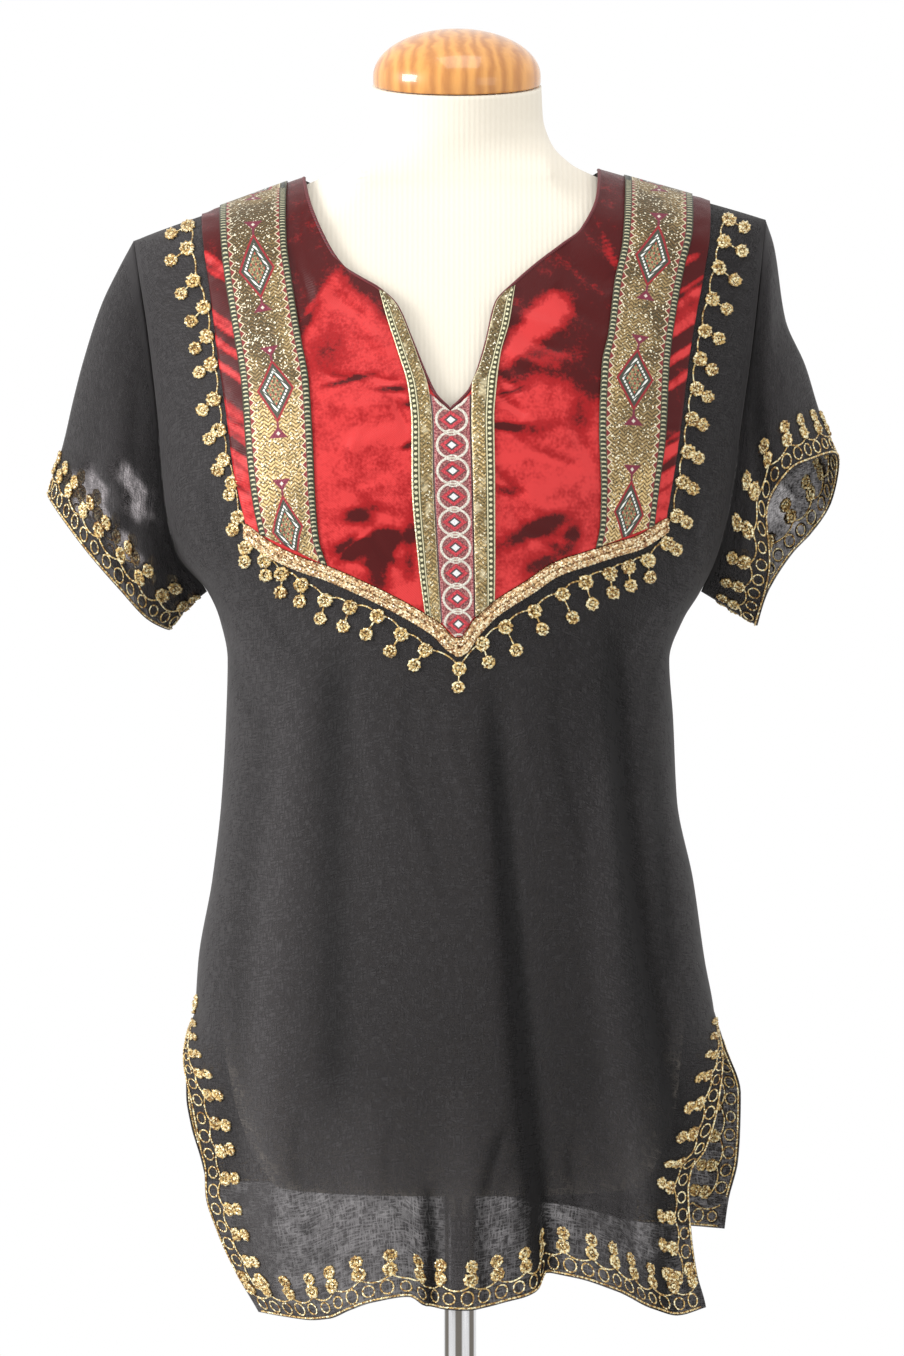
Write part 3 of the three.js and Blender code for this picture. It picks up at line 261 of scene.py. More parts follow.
def front_half(side, columns, low_rows, high_rows):
    """Rows of points from the hem to the shoulder seam, from the middle out to one side."""
    share = np.linspace(0, 1, columns + 1)[None, :]
    eased = np.sin(share * np.pi / 2) * 0.55 + share * 0.45
    neckline = NECKLINE_LEFT if side < 0 else NECKLINE_RIGHT
    tip = SHOULDER_TIPS[side > 0]
    v_x, v_z = V_POINT

    def across(z):
        return mix(centre_x(z), panel_edge(FRONT, side, z), eased)

    level = np.linspace(0, 1, low_rows + 1)[:, None]
    z = mix(curve(FRONT_HEM, across(mix(170, v_z, level))), v_z, level)
    x = across(z) + (v_x - centre_x(z)) * ease((z - 640) / (v_z - 640)) * (1 - share)
    t = crowded(0.6, high_rows // 2, high_rows // 2)[1:]
    high_share = mix(eased, share, 0.4 * t)
    top_z, top_x = neckline[-1]
    neck_z, side_z = mix(v_z, top_z, t), mix(v_z, tip[1], t)
    seam_x = mix(top_x, tip[0], high_share)
    corner_x = mix(v_x, body_edge(side, v_z), high_share)
    high_x = (mix(x[-1:], seam_x, t) - mix(corner_x, seam_x, t)
              + mix(curve(neckline, neck_z), body_edge(side, side_z), high_share))
    high_z = (mix(v_z, shoulder_height(seam_x), t) - mix(v_z, mix(top_z, tip[1], high_share), t)
              + mix(neck_z, side_z, high_share))
    return np.vstack([x, high_x]), np.vstack([z, high_z])


def select_only(piece=None):
    bpy.ops.object.select_all(action="DESELECT")
    if piece:
        bpy.context.view_layer.objects.active = piece
        piece.select_set(True)


def new_piece(name, points, faces):
    """An object made of points (mm) and faces, alone selected."""
    mesh = bpy.data.meshes.new(name)
    mesh.from_pydata((points * MM).tolist(), [], faces)
    made = bpy.data.objects.new(name, mesh)
    bpy.context.scene.collection.objects.link(made)
    select_only(made)
    return made


def set_attribute(mesh, name, values):
    mesh.attributes.new(name, "FLOAT", "POINT").data.foreach_set("value", values)


def grid_faces(rows, columns, start=0, ring=False):
    index = start + np.arange(rows * columns).reshape(rows, columns)
    if ring:
        index = np.hstack([index, index[:, :1]])
    return np.stack([index[:-1, :-1], index[:-1, 1:], index[1:, 1:], index[1:, :-1]], -1)


def arc_lengths(points):
    """Length from the first point of a line, or of each column of a grid, to each point."""
    steps = np.linalg.norm(np.diff(points, axis=0), axis=-1).cumsum(axis=0)
    return np.concatenate([np.zeros_like(steps[:1]), steps])


def sheet_object(name, grids, outwards, thickness=CLOTH, ring=False, attributes=None, uv=None):
    """A sheet through one or more grids of points (mm), joined where they meet, with a wall.

    outwards gives a direction that leaves the sheet at each of a grid's points."""
    faces, spots, start = [], [], 0
    for number, grid in enumerate(grids):
        rows, columns = grid.shape[:2]
        quads = grid_faces(rows, columns, start, ring)
        start += rows * columns
        turn = np.cross(grid[:-1, 1:] - grid[:-1, :-1], grid[1:, 1:] - grid[:-1, :-1])
        if (turn * outwards(grid[:-1, :-1])).sum() < 0:
            quads = quads[..., ::-1]
        faces += quads.reshape(-1, 4).tolist()
        around = arc_lengths(grid.transpose(1, 0, 2)).T
        spots.append(np.stack([around, arc_lengths(grid)], -1) * MM if uv is None else uv)
    made = new_piece(name, np.vstack([grid.reshape(-1, 3) for grid in grids]), faces)
    mesh = made.data
    corners = np.empty(len(mesh.loops), np.int32)
    mesh.loops.foreach_get("vertex_index", corners)
    flat_spots = np.vstack([block.reshape(-1, 2) for block in spots])
    mesh.uv_layers.new(name="cut").data.foreach_set("uv", flat_spots[corners].ravel())
    for key, blocks in (attributes or {}).items():
        set_attribute(mesh, key, np.concatenate([block.ravel() for block in blocks]))
    bpy.ops.object.mode_set(mode="EDIT")
    bpy.ops.mesh.select_all(action="SELECT")
    bpy.ops.mesh.remove_doubles(threshold=0.00002)
    bpy.ops.object.mode_set(mode="OBJECT")
    wall = made.modifiers.new("wall", "SOLIDIFY")
    wall.thickness = thickness * MM
    wall.offset = -1
    bpy.ops.object.modifier_apply(modifier="wall")
    bpy.ops.object.shade_smooth()
    return made


def forwards(_):
    return np.array([0.0, -1.0, 0.0])


class Amount:
    """A value that changes over a surface. Arithmetic on it adds nodes to its material."""

    def __init__(self, tree, socket):
        self.tree, self.socket = tree, socket

    def calc(self, operation, *others):
        node = self.tree.nodes.new("ShaderNodeMath")
        node.operation = operation
        for socket, value in zip(node.inputs, (self, *others)):
            put(self.tree, socket, value)
        return Amount(self.tree, node.outputs[0])

    def __add__(self, other):
        return self.calc("ADD", other)

    def __sub__(self, other):
        return self.calc("SUBTRACT", other)

    def __mul__(self, other):
        return self.calc("MULTIPLY", other)

    def __truediv__(self, other):
        return self.calc("DIVIDE", other)

    def __pow__(self, other):
        return self.calc("POWER", other)

    def __abs__(self):
        return self.calc("ABSOLUTE")

    def limited(self, low, high):
        return self.calc("MINIMUM", high).calc("MAXIMUM", low)

    def span(self, low, high, to_low=0.0, to_high=1.0):
        """This value's range turned smoothly into another range."""
        node = self.tree.nodes.new("ShaderNodeMapRange")
        node.interpolation_type = "SMOOTHSTEP"
        for key, value in (("Value", self), ("From Min", low), ("From Max", high),
                           ("To Min", to_low), ("To Max", to_high)):
            put(self.tree, node.inputs[key], value)
        return Amount(self.tree, node.outputs["Result"])

    def past(self, limit, soft):
        return self.span(limit - soft, limit + soft)

    def within(self, limit, soft):
        return self.span(limit - soft, limit + soft, 1.0, 0.0)

    def between(self, low, high, soft):
        return self.past(low, soft) * self.within(high, soft)

    def cycle(self, length):
        """Place within a repeat, from -0.5 to 0.5 of it."""
        return (self / length).calc("FRACT") - 0.5


def put(tree, socket, value):
    """Links an amount into a socket, or sets the socket to a number or a colour."""
    if isinstance(value, Amount):
        tree.links.new(value.socket, socket)
    else:
        socket.default_value = (*value, 1) if socket.type == "RGBA" else value


class Finish:
    """A material being mixed: its nodes, and the base colour that is painted so far."""

    def __init__(self, name):
        self.material = bpy.data.materials.new(name)
        self.material.use_nodes = True
        self.tree = self.material.node_tree
        self.shader = next(node for node in self.tree.nodes if node.type == "BSDF_PRINCIPLED")
        self.where = self.add("ShaderNodeTexCoord", "Object")

    def add(self, kind, output, inputs=(), **settings):
        """Adds a node with its settings and inputs, and gives one of its outputs."""
        node = self.tree.nodes.new(kind)
        for key, value in settings.items():
            setattr(node, key, value)
        for key, value in dict(inputs).items():
            put(self.tree, node.inputs[key], value)
        return Amount(self.tree, node.outputs[output])

    def axis(self, number, vector=None):
        return self.add("ShaderNodeSeparateXYZ", number, {"Vector": vector or self.where})

    def attribute(self, name):
        return self.add("ShaderNodeAttribute", "Fac", attribute_name=name)

    def stretched(self, stretch, vector=None):
        """The place on the piece, or another vector, drawn out along an axis with a small scale."""
        return self.add("ShaderNodeMapping", 0, {"Vector": vector or self.where, "Scale": stretch})

    def grain(self, scale, detail=2.0, rough=0.5, stretch=(1, 1, 1), vector=None):
        return self.add("ShaderNodeTexNoise", "Fac", {
            "Vector": self.stretched(stretch, vector), "Scale": scale, "Detail": detail,
            "Roughness": rough})

    def wave(self, direction, scale, distortion=0.0, detail=2.0, stretch=(1, 1, 1), detail_scale=1.0):
        return self.add("ShaderNodeTexWave", "Fac", {
            "Vector": self.stretched(stretch), "Scale": scale, "Distortion": distortion,
            "Detail": detail, "Detail Scale": detail_scale}, bands_direction=direction)

    def blend(self, factor, first, second):
        return self.add("ShaderNodeMix", 2, {0: factor, 6: first, 7: second}, data_type="RGBA")

    def paint(self, mask, colour):
        """Lays a colour over the base colour where the mask is 1."""
        self.colour = self.blend(mask, self.colour, colour)

    def bump(self, height, strength, distance):
        made = self.add("ShaderNodeBump", 0, {
            "Height": height, "Strength": strength, "Distance": distance})
        put(self.tree, self.shader.inputs["Normal"], made)

    def mixed(self, values):
        """Fills the shader's sockets, and gives the finished material."""
        for key, value in {"Base Color": self.colour, **values}.items():
            put(self.tree, self.shader.inputs[key], value)
        return self.material


def voile_material():
    """Black voile: fine slubby threads, light showing between them, darker where it doubles. Its colour
    carries painted shade in the fold troughs and painted light on the ridges.
    """
    finish = Finish("black voile")
    cut = finish.add("ShaderNodeUVMap", 0, uv_map="cut")
    warp = finish.grain(900.0, 2.0, 0.6, (1.0, 0.16, 1.0), cut)
    weft = finish.grain(900.0, 2.0, 0.6, (0.16, 1.0, 1.0), cut)
    patchy = finish.grain(90.0, 3.0, 0.6, vector=cut).span(0.3, 0.7, -0.07, 0.07)
    threads = warp.span(0.36, 0.62) * weft.span(0.36, 0.62)
    cover = (threads * 0.34 + 0.53 + patchy + finish.attribute("ply") * 0.42).limited(0.05, 0.995)
    shade = finish.blend(threads, (0.0255, 0.0236, 0.0242), (0.034, 0.0316, 0.0322))
    # Painted shade and painted light: the fold attribute scales the thread colour, darker in the fold
    # troughs and lighter on the ridges; on the front it also holds painted light on the left and painted
    # shade on the right and low down.
    finish.colour = finish.add("ShaderNodeVectorMath", 0, {
        0: shade, "Scale": finish.attribute("fold").span(-8.5, 8.5, 0.34, 1.66)}, operation="SCALE")
    finish.bump(threads, 0.25, 0.0002)
    clear = finish.add("ShaderNodeBsdfTransparent", 0, {"Color": (1.0, 0.98, 0.985)})
    cloth = Amount(finish.tree, finish.shader.outputs[0])
    both = finish.add("ShaderNodeMixShader", 0, {0: cover, 1: clear, 2: cloth})
    output = next(node for node in finish.tree.nodes if node.type == "OUTPUT_MATERIAL")
    put(finish.tree, output.inputs["Surface"], both)
    return finish.mixed({
        "Roughness": 0.82, "Specular IOR Level": 0.2, "Sheen Weight": 0.10, "Sheen Roughness": 0.45,
        "Sheen Tint": (0.75, 0.72, 0.72)})


voile = voile_material()


def finish_piece(piece, material, slot, *nodes):
    """Paints a piece, lets it ride on the part, and has it stand for its plain solids."""
    piece.data.materials.clear()
    piece.data.materials.append(material)
    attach(piece, "root")
    if nodes:
        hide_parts(*nodes)
    return piece


def sheer_share(table, x, z):
    """1 inside the soft-edged boxes of a table and 0 outside them."""
    share = np.zeros(np.broadcast(x, z).shape)
    for middle_x, middle_z, wide, high, clear in table:
        side = clear * ease((wide + 2 - np.abs(x - middle_x)) / 4)
        share = np.maximum(share, side * ease((high + 4 - np.abs(z - middle_z)) / 8))
    return share


def troughs(folds, x, z):
    """1 along the bottoms of the deep folds, where the cloth doubles."""
    deep = [row for row in folds if row[4] < -2.5]
    narrow = [(*row[:3], -row[3] / 6, -row[4] / 9, row[5] * 0.62) for row in deep]
    return np.clip(fold_depth(narrow, x, z), 0, 1)


def oblique(grid):
    """How far a grid of points turns its face sideways, from 0 to 1."""
    turn = np.cross(np.gradient(grid, axis=1), np.gradient(grid, axis=0))
    turn /= np.linalg.norm(turn, axis=2, keepdims=True) + 1e-9
    return 1 - np.abs(turn[..., 1])


def front_looks(grid, x, z):
    """How densely the front covers what is behind it, and the painted shade and light of its folds in mm:
    darker in the troughs, lighter on the ridges and on the left, darker on the right and towards the hem.
    """
    edge = np.where(x < centre_x(z), body_edge(-1, z), body_edge(1, z))
    seam = ease((4 - np.abs(edge - x)) / 4) * ease((z - SLIT_TOP) / 10)
    deep = troughs(FRONT_FOLDS, x, z)
    clear_ply = 0.15 - 0.08 * ease((z - 212) / 26)
    ply = mix(CLOTH_PLY + 0.5 * oblique(grid), clear_ply, sheer_share(FRONT_SHEER, x, z))
    # Painted shade and painted light for the voile's colour: fold depth and creases, lighter on the left
    # and darker on the right, darker towards the hem except at the far left, and darker still along the
    # deep fold troughs.
    fold_shade = fold_depth(FRONT_FOLDS, x, z) + 1.8 * crease_height(FRONT_CREASES, x, z)
    painted_side_light = -2.4 * np.clip(x / 130, -1, 1) - 1.3 * ease((480 - z) / 200) * ease((x + 130) / 90)
    return np.clip(ply + 0.7 * deep + seam, -1, 1), fold_shade + painted_side_light - 6.0 * deep


CLOTH_PLY = 0.34  # how much a single layer covers beyond its bare threads
FRONT_COLUMNS, FRONT_LOW, FRONT_HIGH = 78, 170, 56
front_plan = [front_half(side, FRONT_COLUMNS, FRONT_LOW, FRONT_HIGH) for side in (-1, 1)]
front_grids = [front_point(x, z) for x, z in front_plan]
front_look = [front_looks(grid, x, z) for grid, (x, z) in zip(front_grids, front_plan)]
# ply is how densely the cloth covers; fold holds the painted shade and light of the voile's colour.
front_cloth = sheet_object("blouse_front", front_grids, forwards, attributes={
    "ply": [look[0] for look in front_look], "fold": [look[1] for look in front_look]})
finish_piece(front_cloth, voile, "voile", "front_panel")

# ---- back of the blouse ------------------------------------------------------------------
# The back panel, cut from the same voile in one piece, hanging straight from the shoulders and
# the back of the neck. Its hem stays a little above the front's.
BODY_BACK = [
    (150, 122), (250, 123), (355, 119), (388, 117), (440, 112), (492, 104), (545, 99),
    (583, 100), (609, 101), (627, 102), (651, 104), (687, 106), (740, 108), (770, 106),
    (800, 102), (830, 95), (860, 85), (890, 70), (925, 62), (960, 62),
]
BACK_EDGE_LEFT = [
    (190, -158), (225, -165), (252, -171), (276, -178), (296, -181), (330, -180.5), (355, -172),
]
BACK_EDGE_RIGHT = [
    (190, 173), (225, 177.5), (252, 184), (276, 185.5), (296, 185.8), (330, 174), (355, 165),
]
BACK_HEM = [(-165, 239), (-110, 234), (-50, 232), (10, 225), (70, 217), (120, 208), (176, 207)]
BACK_TOP_X = [(-1, -212), (-0.52, -101), (-0.42, -84), (0, -4), (0.42, 74), (0.52, 89.7), (1, 198.2)]
BACK_TOP_Z = [(-1, 855.7), (-0.52, 895.3), (-0.42, 891), (0, 884), (0.42, 893), (0.52, 900.5),
              (1, 869.6)]
BACK_FOLDS = [
    ((-96, 640), (-104, 430), (-116, 185), -3, -9, 10),
    ((-64, 560), (-66, 400), (-78, 185), 2, 8, 17),
    ((-24, 660), (-30, 450), (-34, 185), -2, -8, 9),
    ((6, 520), (8, 380), (6, 185), 1, 8, 17),
    ((40, 640), (48, 440), (52, 185), -3, -9, 8),
    ((74, 560), (80, 400), (90, 185), 2, 7, 16),
    ((104, 620), (112, 440), (128, 185), -4, -9, 9),
]
BACK_CREASES = [
    (-140, 620, -104, 540, 3.6, -1.5), (-132, 600, -110, 520, 3.2, 1.2), (136, 615, 104, 540, 3.4, -1.5),
    (120, 600, 100, 500, 3.6, 1.1), (-60, 800, -20, 770, 4.0, -1.0), (52, 810, 16, 772, 4.0, -1.0),
    (-10, 700, -14, 560, 4.6, -0.9), (60, 690, 66, 560, 4.2, 0.9), (-90, 300, -98, 215, 3.0, -1.4),
    (20, 320, 26, 216, 3.4, 1.3), (96, 300, 108, 216, 3.0, -1.4), (-52, 290, -50, 215, 2.8, 1.2),
    (160, 330, 172, 250, 2.8, -1.6), (168, 320, 180, 262, 2.2, 1.5), (150, 300, 160, 215, 2.4, 1.5),
    (-160, 320, -168, 250, 2.8, 1.3),
]
BACK_NECK_SHARE = 0.52  # share of the back's half width where the shoulder seams begin
SEAM_GAP = 0.3  # from the front's side seams to the back's
BACK = {
    "edges": (BACK_EDGE_LEFT, BACK_EDGE_RIGHT), "depth": BODY_BACK,
    "folds": BACK_FOLDS, "creases": BACK_CREASES, "facing": 1,
}


def back_sheet(columns, low_rows, high_rows):
    """Rows of points from the back's hem up to the shoulder seams and the back of the neck."""
    level = crowded(0.93, low_rows, high_rows)
    share = np.linspace(-1, 1, columns + 1)[None, :]
    out = mix(np.abs(share), np.sin(np.abs(share) * np.pi / 2), 0.55)
    top_x, top_z = curve(BACK_TOP_X, np.sign(share) * out), curve(BACK_TOP_Z, np.sign(share) * out)
    top_z = np.where(out >= BACK_NECK_SHARE, shoulder_height(top_x), top_z)

    def across(z):
        return mix(centre_x(z), np.where(share < 0, panel_edge(BACK, -1, z), panel_edge(BACK, 1, z)), out)

    z = mix(curve(BACK_HEM, across(np.full_like(level, 205))), top_z, level)
    x = mix(across(z), top_x, ease((level - 0.55) / 0.45) * (1 - out ** 8))
    return x, z


def backwards(_):
    return np.array([0.0, 1.0, 0.0])


back_x, back_z = back_sheet(130, 150, 22)
back_grid = np.stack([back_x, cloth_depth(BACK, back_x, back_z) + SEAM_GAP, back_z], -1)
back_thin = ease((150 - np.abs(back_x)) / 30) * ease((250 - back_z) / 24)
back_ply = CLOTH_PLY + 0.5 * oblique(back_grid) + 0.6 * troughs(BACK_FOLDS, back_x, back_z)
# Painted shade in the back's fold troughs and painted light on its ridges, for the voile's colour.
back_fold_shade = fold_depth(BACK_FOLDS, back_x, back_z) + 1.6 * crease_height(BACK_CREASES, back_x, back_z)
back_cloth = sheet_object("blouse_back", [back_grid], backwards, attributes={
    "ply": [mix(back_ply, 0.22, back_thin)], "fold": [back_fold_shade]})
finish_piece(back_cloth, voile, "voile", "back_panel")

# ---- sleeves -----------------------------------------------------------------------------
# Two short wide sleeves of the same voile, set in at dropped shoulders and open at the cuff.
# Each is one piece, sewn along the armhole, and hangs in soft folds towards the underarm.
SLEEVES = [
    {
        "name": "sleeve_on_left", "node": "sleeve_left", "side": -1,
        "top": [(-211.9, 855.7), (-222, 837), (-233, 814), (-245, 777), (-251, 754),
                (-258.5, 722), (-268.5, 690)],
        "under": [(-163.8, 627), (-176.8, 616.5), (-188.5, 602.2)],
        "cuff": [(-268.5, 4, 690), (-257, -27, 674), (-238, -44, 650), (-219, -45, 628),
                 (-202, -30, 609), (-188.5, 0, 602.2), (-203, 30, 614), (-221, 44, 634),
                 (-240, 45, 656), (-258, 31, 679)],
        "folds": [((-190, 735), (-193, 675), (-172, 615), -3, -4, 8),
                  ((-228, 800), (-226, 740), (-236, 660), 0, 3, 12),
                  ((-206, 790), (-208, 720), (-214, 640), -1, -3, 6)],
        "sheer": [(-238, 690, 14, 18, 1.0), (-207, 691, 8, 19, 0.95), (-224, 655, 8, 10, 1.0)],
        "lean": 4.5,
    },
    {
        "name": "sleeve_on_right", "node": "sleeve_right", "side": 1,
        "top": [(198.3, 869.5), (204, 852), (211.5, 804.5), (224.5, 774.5), (234, 744), (246, 715)],
        "under": [(156, 627), (174, 616), (192, 605)],
        "cuff": [(246, 4, 715), (226, -30, 711), (210, -46, 702), (197.5, -46, 678),
                 (200, -34, 640), (193, 0, 605), (202, 24, 628), (218, 40, 652), (232, 44, 667),
                 (244, 32, 687)],
        "folds": [((191, 850), (188, 760), (197, 690), -2, -7, 7),
                  ((186, 690), (172, 655), (160, 628), -3, -3, 7),
                  ((172, 760), (171, 720), (170, 690), -1, -2.5, 4)],
        "sheer": [(210, 684, 11, 13, 0.5)],
        "lean": 0.0,
    },
]


def loop_through(points, count):
    """A closed smooth line through points, as count places that start at the first."""
    points = np.array(points, float)
    spots = np.linspace(0, len(points), count, endpoint=False)
    i = spots.astype(int)
    t = (spots - i)[:, None]
    a, b, c, d = (points[(i + k) % len(points)] for k in (-1, 0, 1, 2))
    return 0.5 * (2 * b + (c - a) * t + (2 * a - 5 * b + 4 * c - d) * t ** 2
                  + (3 * b - a - 3 * c + d) * t ** 3)


def bow_of(points, share):
    """How far a line through (x, z) points strays from a straight one between its ends."""
    points = np.array(points, float)
    keys = arc_lengths(points)
    keys /= keys[-1]
    line = np.stack([curve(np.stack([keys, points[:, k]], -1), share) for k in (0, 1)], -1)
    return line - mix(points[0], points[-1], share[:, None])


def sleeve_grid(row, sides, rings):
    """Rings of points from the armhole to the cuff. Its angle starts on top and turns forwards."""
    side, top, under = row["side"], row["top"], row["under"]
    angle = 2 * np.pi * np.arange(sides) / sides
    drop = (1 - np.cos(angle)) / 2
    z = mix(top[0][1] - 0.2, under[0][1] + 0.2, drop)
    x = body_edge(side, z)
    y = np.where(angle < np.pi, cloth_depth(FRONT, x, z), cloth_depth(BACK, x, z) + SEAM_GAP)
    armhole = np.stack([x + side * 0.5, y, z], -1)
    along = np.linspace(0, 1, rings)
    grid = mix(armhole[None], loop_through(row["cuff"], sides)[None], along[:, None, None])
    for line, weight in ((top, (1 - drop) ** 1.5), (under, drop ** 1.5)):
        bow = bow_of(line, along)
        grid[..., 0] += bow[:, :1] * weight
        grid[..., 2] += bow[:, 1:] * weight
    fold = fold_depth(row["folds"], grid[..., 0], grid[..., 2])
    near = ease(along * 3)[:, None] * np.maximum(0, np.sin(angle))
    hidden = 1.6 * np.sin(9 * angle + 2) * np.maximum(0, -np.sin(angle))
    grid[..., 1] -= 9 * np.sin(np.pi * along)[:, None] * np.sin(angle) + fold * near
    grid[..., 1] += hidden * ease(along * 2)[:, None]
    return grid


sleeve_grids = {}
for row in SLEEVES:
    grid = sleeve_grid(row, 120, 56)
    sleeve_grids[row["name"]] = grid
    x, z = grid[..., 0], grid[..., 2]
    heart = grid.mean(axis=1, keepdims=True)
    rings = np.linspace(0, 1, len(grid))[:, None]
    behind = np.arange(grid.shape[1]) > grid.shape[1] / 2
    ply = np.where(behind, mix(CLOTH_PLY, 0.10, ease((rings - 0.5) / 0.4)), CLOTH_PLY)
    ragged_x = x + 0.35 * (z - 680) + 2.4 * np.sin(z / 3.7)
    ragged_z = z + 3.5 * np.sin(x / 3.1)
    ply = mix(ply + 0.4 * oblique(grid), -0.8, sheer_share(row["sheer"], ragged_x, ragged_z))
    ply += ease((0.08 - rings) / 0.06)
    # The fold attribute paints shade in the sleeve's fold troughs and light on its ridges.
    sleeve = sheet_object(row["name"], [grid], lambda points: points - heart[:len(points)], ring=True,
                          attributes={"ply": [ply], "fold": [fold_depth(row["folds"], x, z)]})
    row["cloth"] = finish_piece(sleeve, voile, "voile", row["node"])

# ---- yoke --------------------------------------------------------------------------------
# A panel of crimson satin laid over the front from the shoulders to a pointed lower edge. It is
# cut a little full, so it wrinkles, and its neckline is bound with a narrow dark cord.
YOKE_LEFT = [
    (664, -134.5), (702.4, -142.1), (736.2, -146.8), (776.3, -153.1), (819.5, -159.1),
    (853.9, -164.6), (870.7, -166.8),
]
YOKE_RIGHT = [
    (670.2, 129.3), (712.8, 136.1), (745.5, 140.7), (773.2, 144.4), (801.1, 149.3),
    (827.2, 154.7), (852.5, 159.2), (880, 161.8),
]
BRAID_LINE = [
    (-135, 663.4), (-116.6, 650.2), (-99.8, 642.4), (-83.2, 636.7), (-60.7, 626.7),
    (-38.4, 615.5), (-16.3, 602.3), (-0.9, 590.2), (11.1, 603.6), (21, 613.3), (43.2, 627.9),
    (60, 639), (82.4, 646.8), (99.2, 652.4), (110.3, 655.7), (130, 667.5),
]
BRAID_WIDTH = 8.5
BRAID_POINT = -0.9
YOKE_LIFT = 1.1  # from the voile to the satin's underside
SATIN = 0.7
# Creases of the satin: from (x, z) to (x, z), width, height.
SATIN_CREASES = [
    (-72, 836, -100, 796, 7.0, 2.6), (-104, 850, -96, 800, 5.0, -1.6), (-84, 822, -56, 790, 4.0, -1.5),
    (-88, 764, -62, 756, 2.6, -1.8), (-58, 762, -36, 754, 2.2, -1.6), (-44, 752, -32, 748, 2.0, -1.4),
    (-40, 750, -34, 724, 2.4, -1.4), (-86, 744, -40, 738, 6.0, 1.3), (-84, 716, -36, 722, 5.0, 1.2),
    (-82, 690, -36, 700, 4.2, -1.3), (-76, 674, -40, 640, 6.0, 1.8), (-70, 690, -34, 664, 4.0, -1.8),
    (-80, 654, -52, 634, 3.0, -1.6), (-56, 668, -36, 630, 3.2, -1.4), (-62, 800, -44, 770, 5.0, 1.4),
    (30, 806, 66, 786, 4.2, 2.0), (30, 794, 70, 770, 3.6, -1.9), (26, 780, 62, 760, 4.4, 1.8),
    (22, 754, 40, 733, 2.6, -2.4), (24, 764, 38, 748, 2.2, -1.8), (22, 700, 40, 684, 2.4, -1.8),
    (28, 740, 72, 716, 5.0, 1.5), (30, 726, 74, 698, 3.4, -1.5), (36, 690, 74, 664, 6.0, 1.9),
    (30, 676, 70, 640, 4.0, -2.0), (44, 664, 76, 656, 3.0, -1.6), (64, 846, 92, 812, 5.0, -2.2),
    (76, 856, 96, 826, 5.0, 2.0), (60, 820, 90, 786, 4.4, -1.8), (58, 790, 84, 750, 5.2, 1.4),
    (70, 742, 82, 700, 4.0, -1.3), (-96, 872, -106, 846, 4.0, -1.6), (-60, 730, -72, 700, 3.4, 1.1),
]
# Above these lines (x, z) the satin turns away from the light: painted shade makes it dark there.
SATIN_SHADED_LEFT = [(-112, 763), (-98, 787), (-88, 808), (-78, 824), (-62, 812), (-47, 797), (-36, 790)]
SATIN_SHADED_RIGHT = [(20, 757), (60, 757), (75, 752), (95, 742), (106, 738)]
# Painted highlights (+) and painted shade (-): x, z, half length, half width, turn in degrees, amount.
SATIN_PAINTED_LIGHTS = [
    (-84, 778, 18, 11, 65, -0.45), (-62.5, 673, 11, 6, 10, -1.1), (-52, 656, 24, 7, 12, -1.0),
    (-50, 643, 21, 8, 80, -1.0), (-69, 650, 11, 6, 30, -0.9), (-67, 655, 15, 1.8, 40, 0.8),
    (-32, 624, 12, 7, 60, 0.4), (-50, 722, 26, 8, 5, 0.25), (-31, 650, 26, 4, 88, -0.5),
    (-70, 757.5, 16, 2.0, 14, -1.0), (-43, 752, 12, 1.8, 4, -0.9), (-30, 742, 6, 2, 0, -0.8),
    (-32, 716, 6, 2.4, 20, -0.9), (-88, 812, 20, 2.6, 52, 0.7), (-92, 700, 12, 5, 75, 0.2),
    (51, 795, 23, 10, 42, 1.5), (56, 812, 12, 4, 20, 0.35), (30, 772, 12, 6, 40, 0.9),
    (54, 766, 15, 7, 40, 0.42), (56, 650, 22, 7, 26, -0.35), (76, 738, 11, 9, 70, -0.5),
    (28, 728, 9, 2.6, -6, -1.3), (49, 728, 15, 4.5, 8, -0.55), (31, 750, 10, 1.7, 12, -0.8),
    (30, 688, 8.5, 3.2, -10, -0.95),
    (47, 664, 26, 6, 26, -1.0), (70, 660, 9, 5, 80, -0.75), (55, 643, 18, 5, 22, -0.6),
    (60, 694, 24, 7, 24, 0.25), (96, 838, 24, 2.4, 110, 0.5), (30, 708, 14, 3, 8, 0.3),
]
PIPING_RADIUS = 1.15


def yoke_edge(side, z):
    return curve(YOKE_LEFT if side < 0 else YOKE_RIGHT, z)


def on_edge(table, t):
    """A place (x, z) at a share of an edge's height."""
    z = mix(table[0][0], table[-1][0], t)
    return curve(table, z), z


def braid_half(x):
    """Half the braid's height at a place, more where it runs on a slant."""
    slope = (curve(BRAID_LINE, x + 2) - curve(BRAID_LINE, x - 2)) / 4
    slope = np.where(np.abs(x - BRAID_POINT) < 2, 0.9, slope)
    return BRAID_WIDTH / 2 * np.hypot(1, slope)


def above_braid(x):
    return curve(BRAID_LINE, x) + braid_half(x) + 0.7


def seated(table):
    """The same edge, with its foot on the braid's upper side."""
    x = table[0][1]
    return [(float(above_braid(x)), x), *table[1:]]


def satin_height(x, z):
    """Height of the satin's creases, and the tight puckers beside the wide ribbons."""
    edge = np.abs(np.where(x < 0, yoke_edge(-1, z), yoke_edge(1, z)))
    beside = np.exp(-(((edge - np.abs(x) - 5.5) / 5.0) ** 2))
    puckers = 0.75 * np.sin(z * 0.42 + 1.7 * np.sin(z * 0.13)) * np.sin(z * 0.071 + np.sign(x))
    return crease_height(SATIN_CREASES, x, z) + puckers * beside


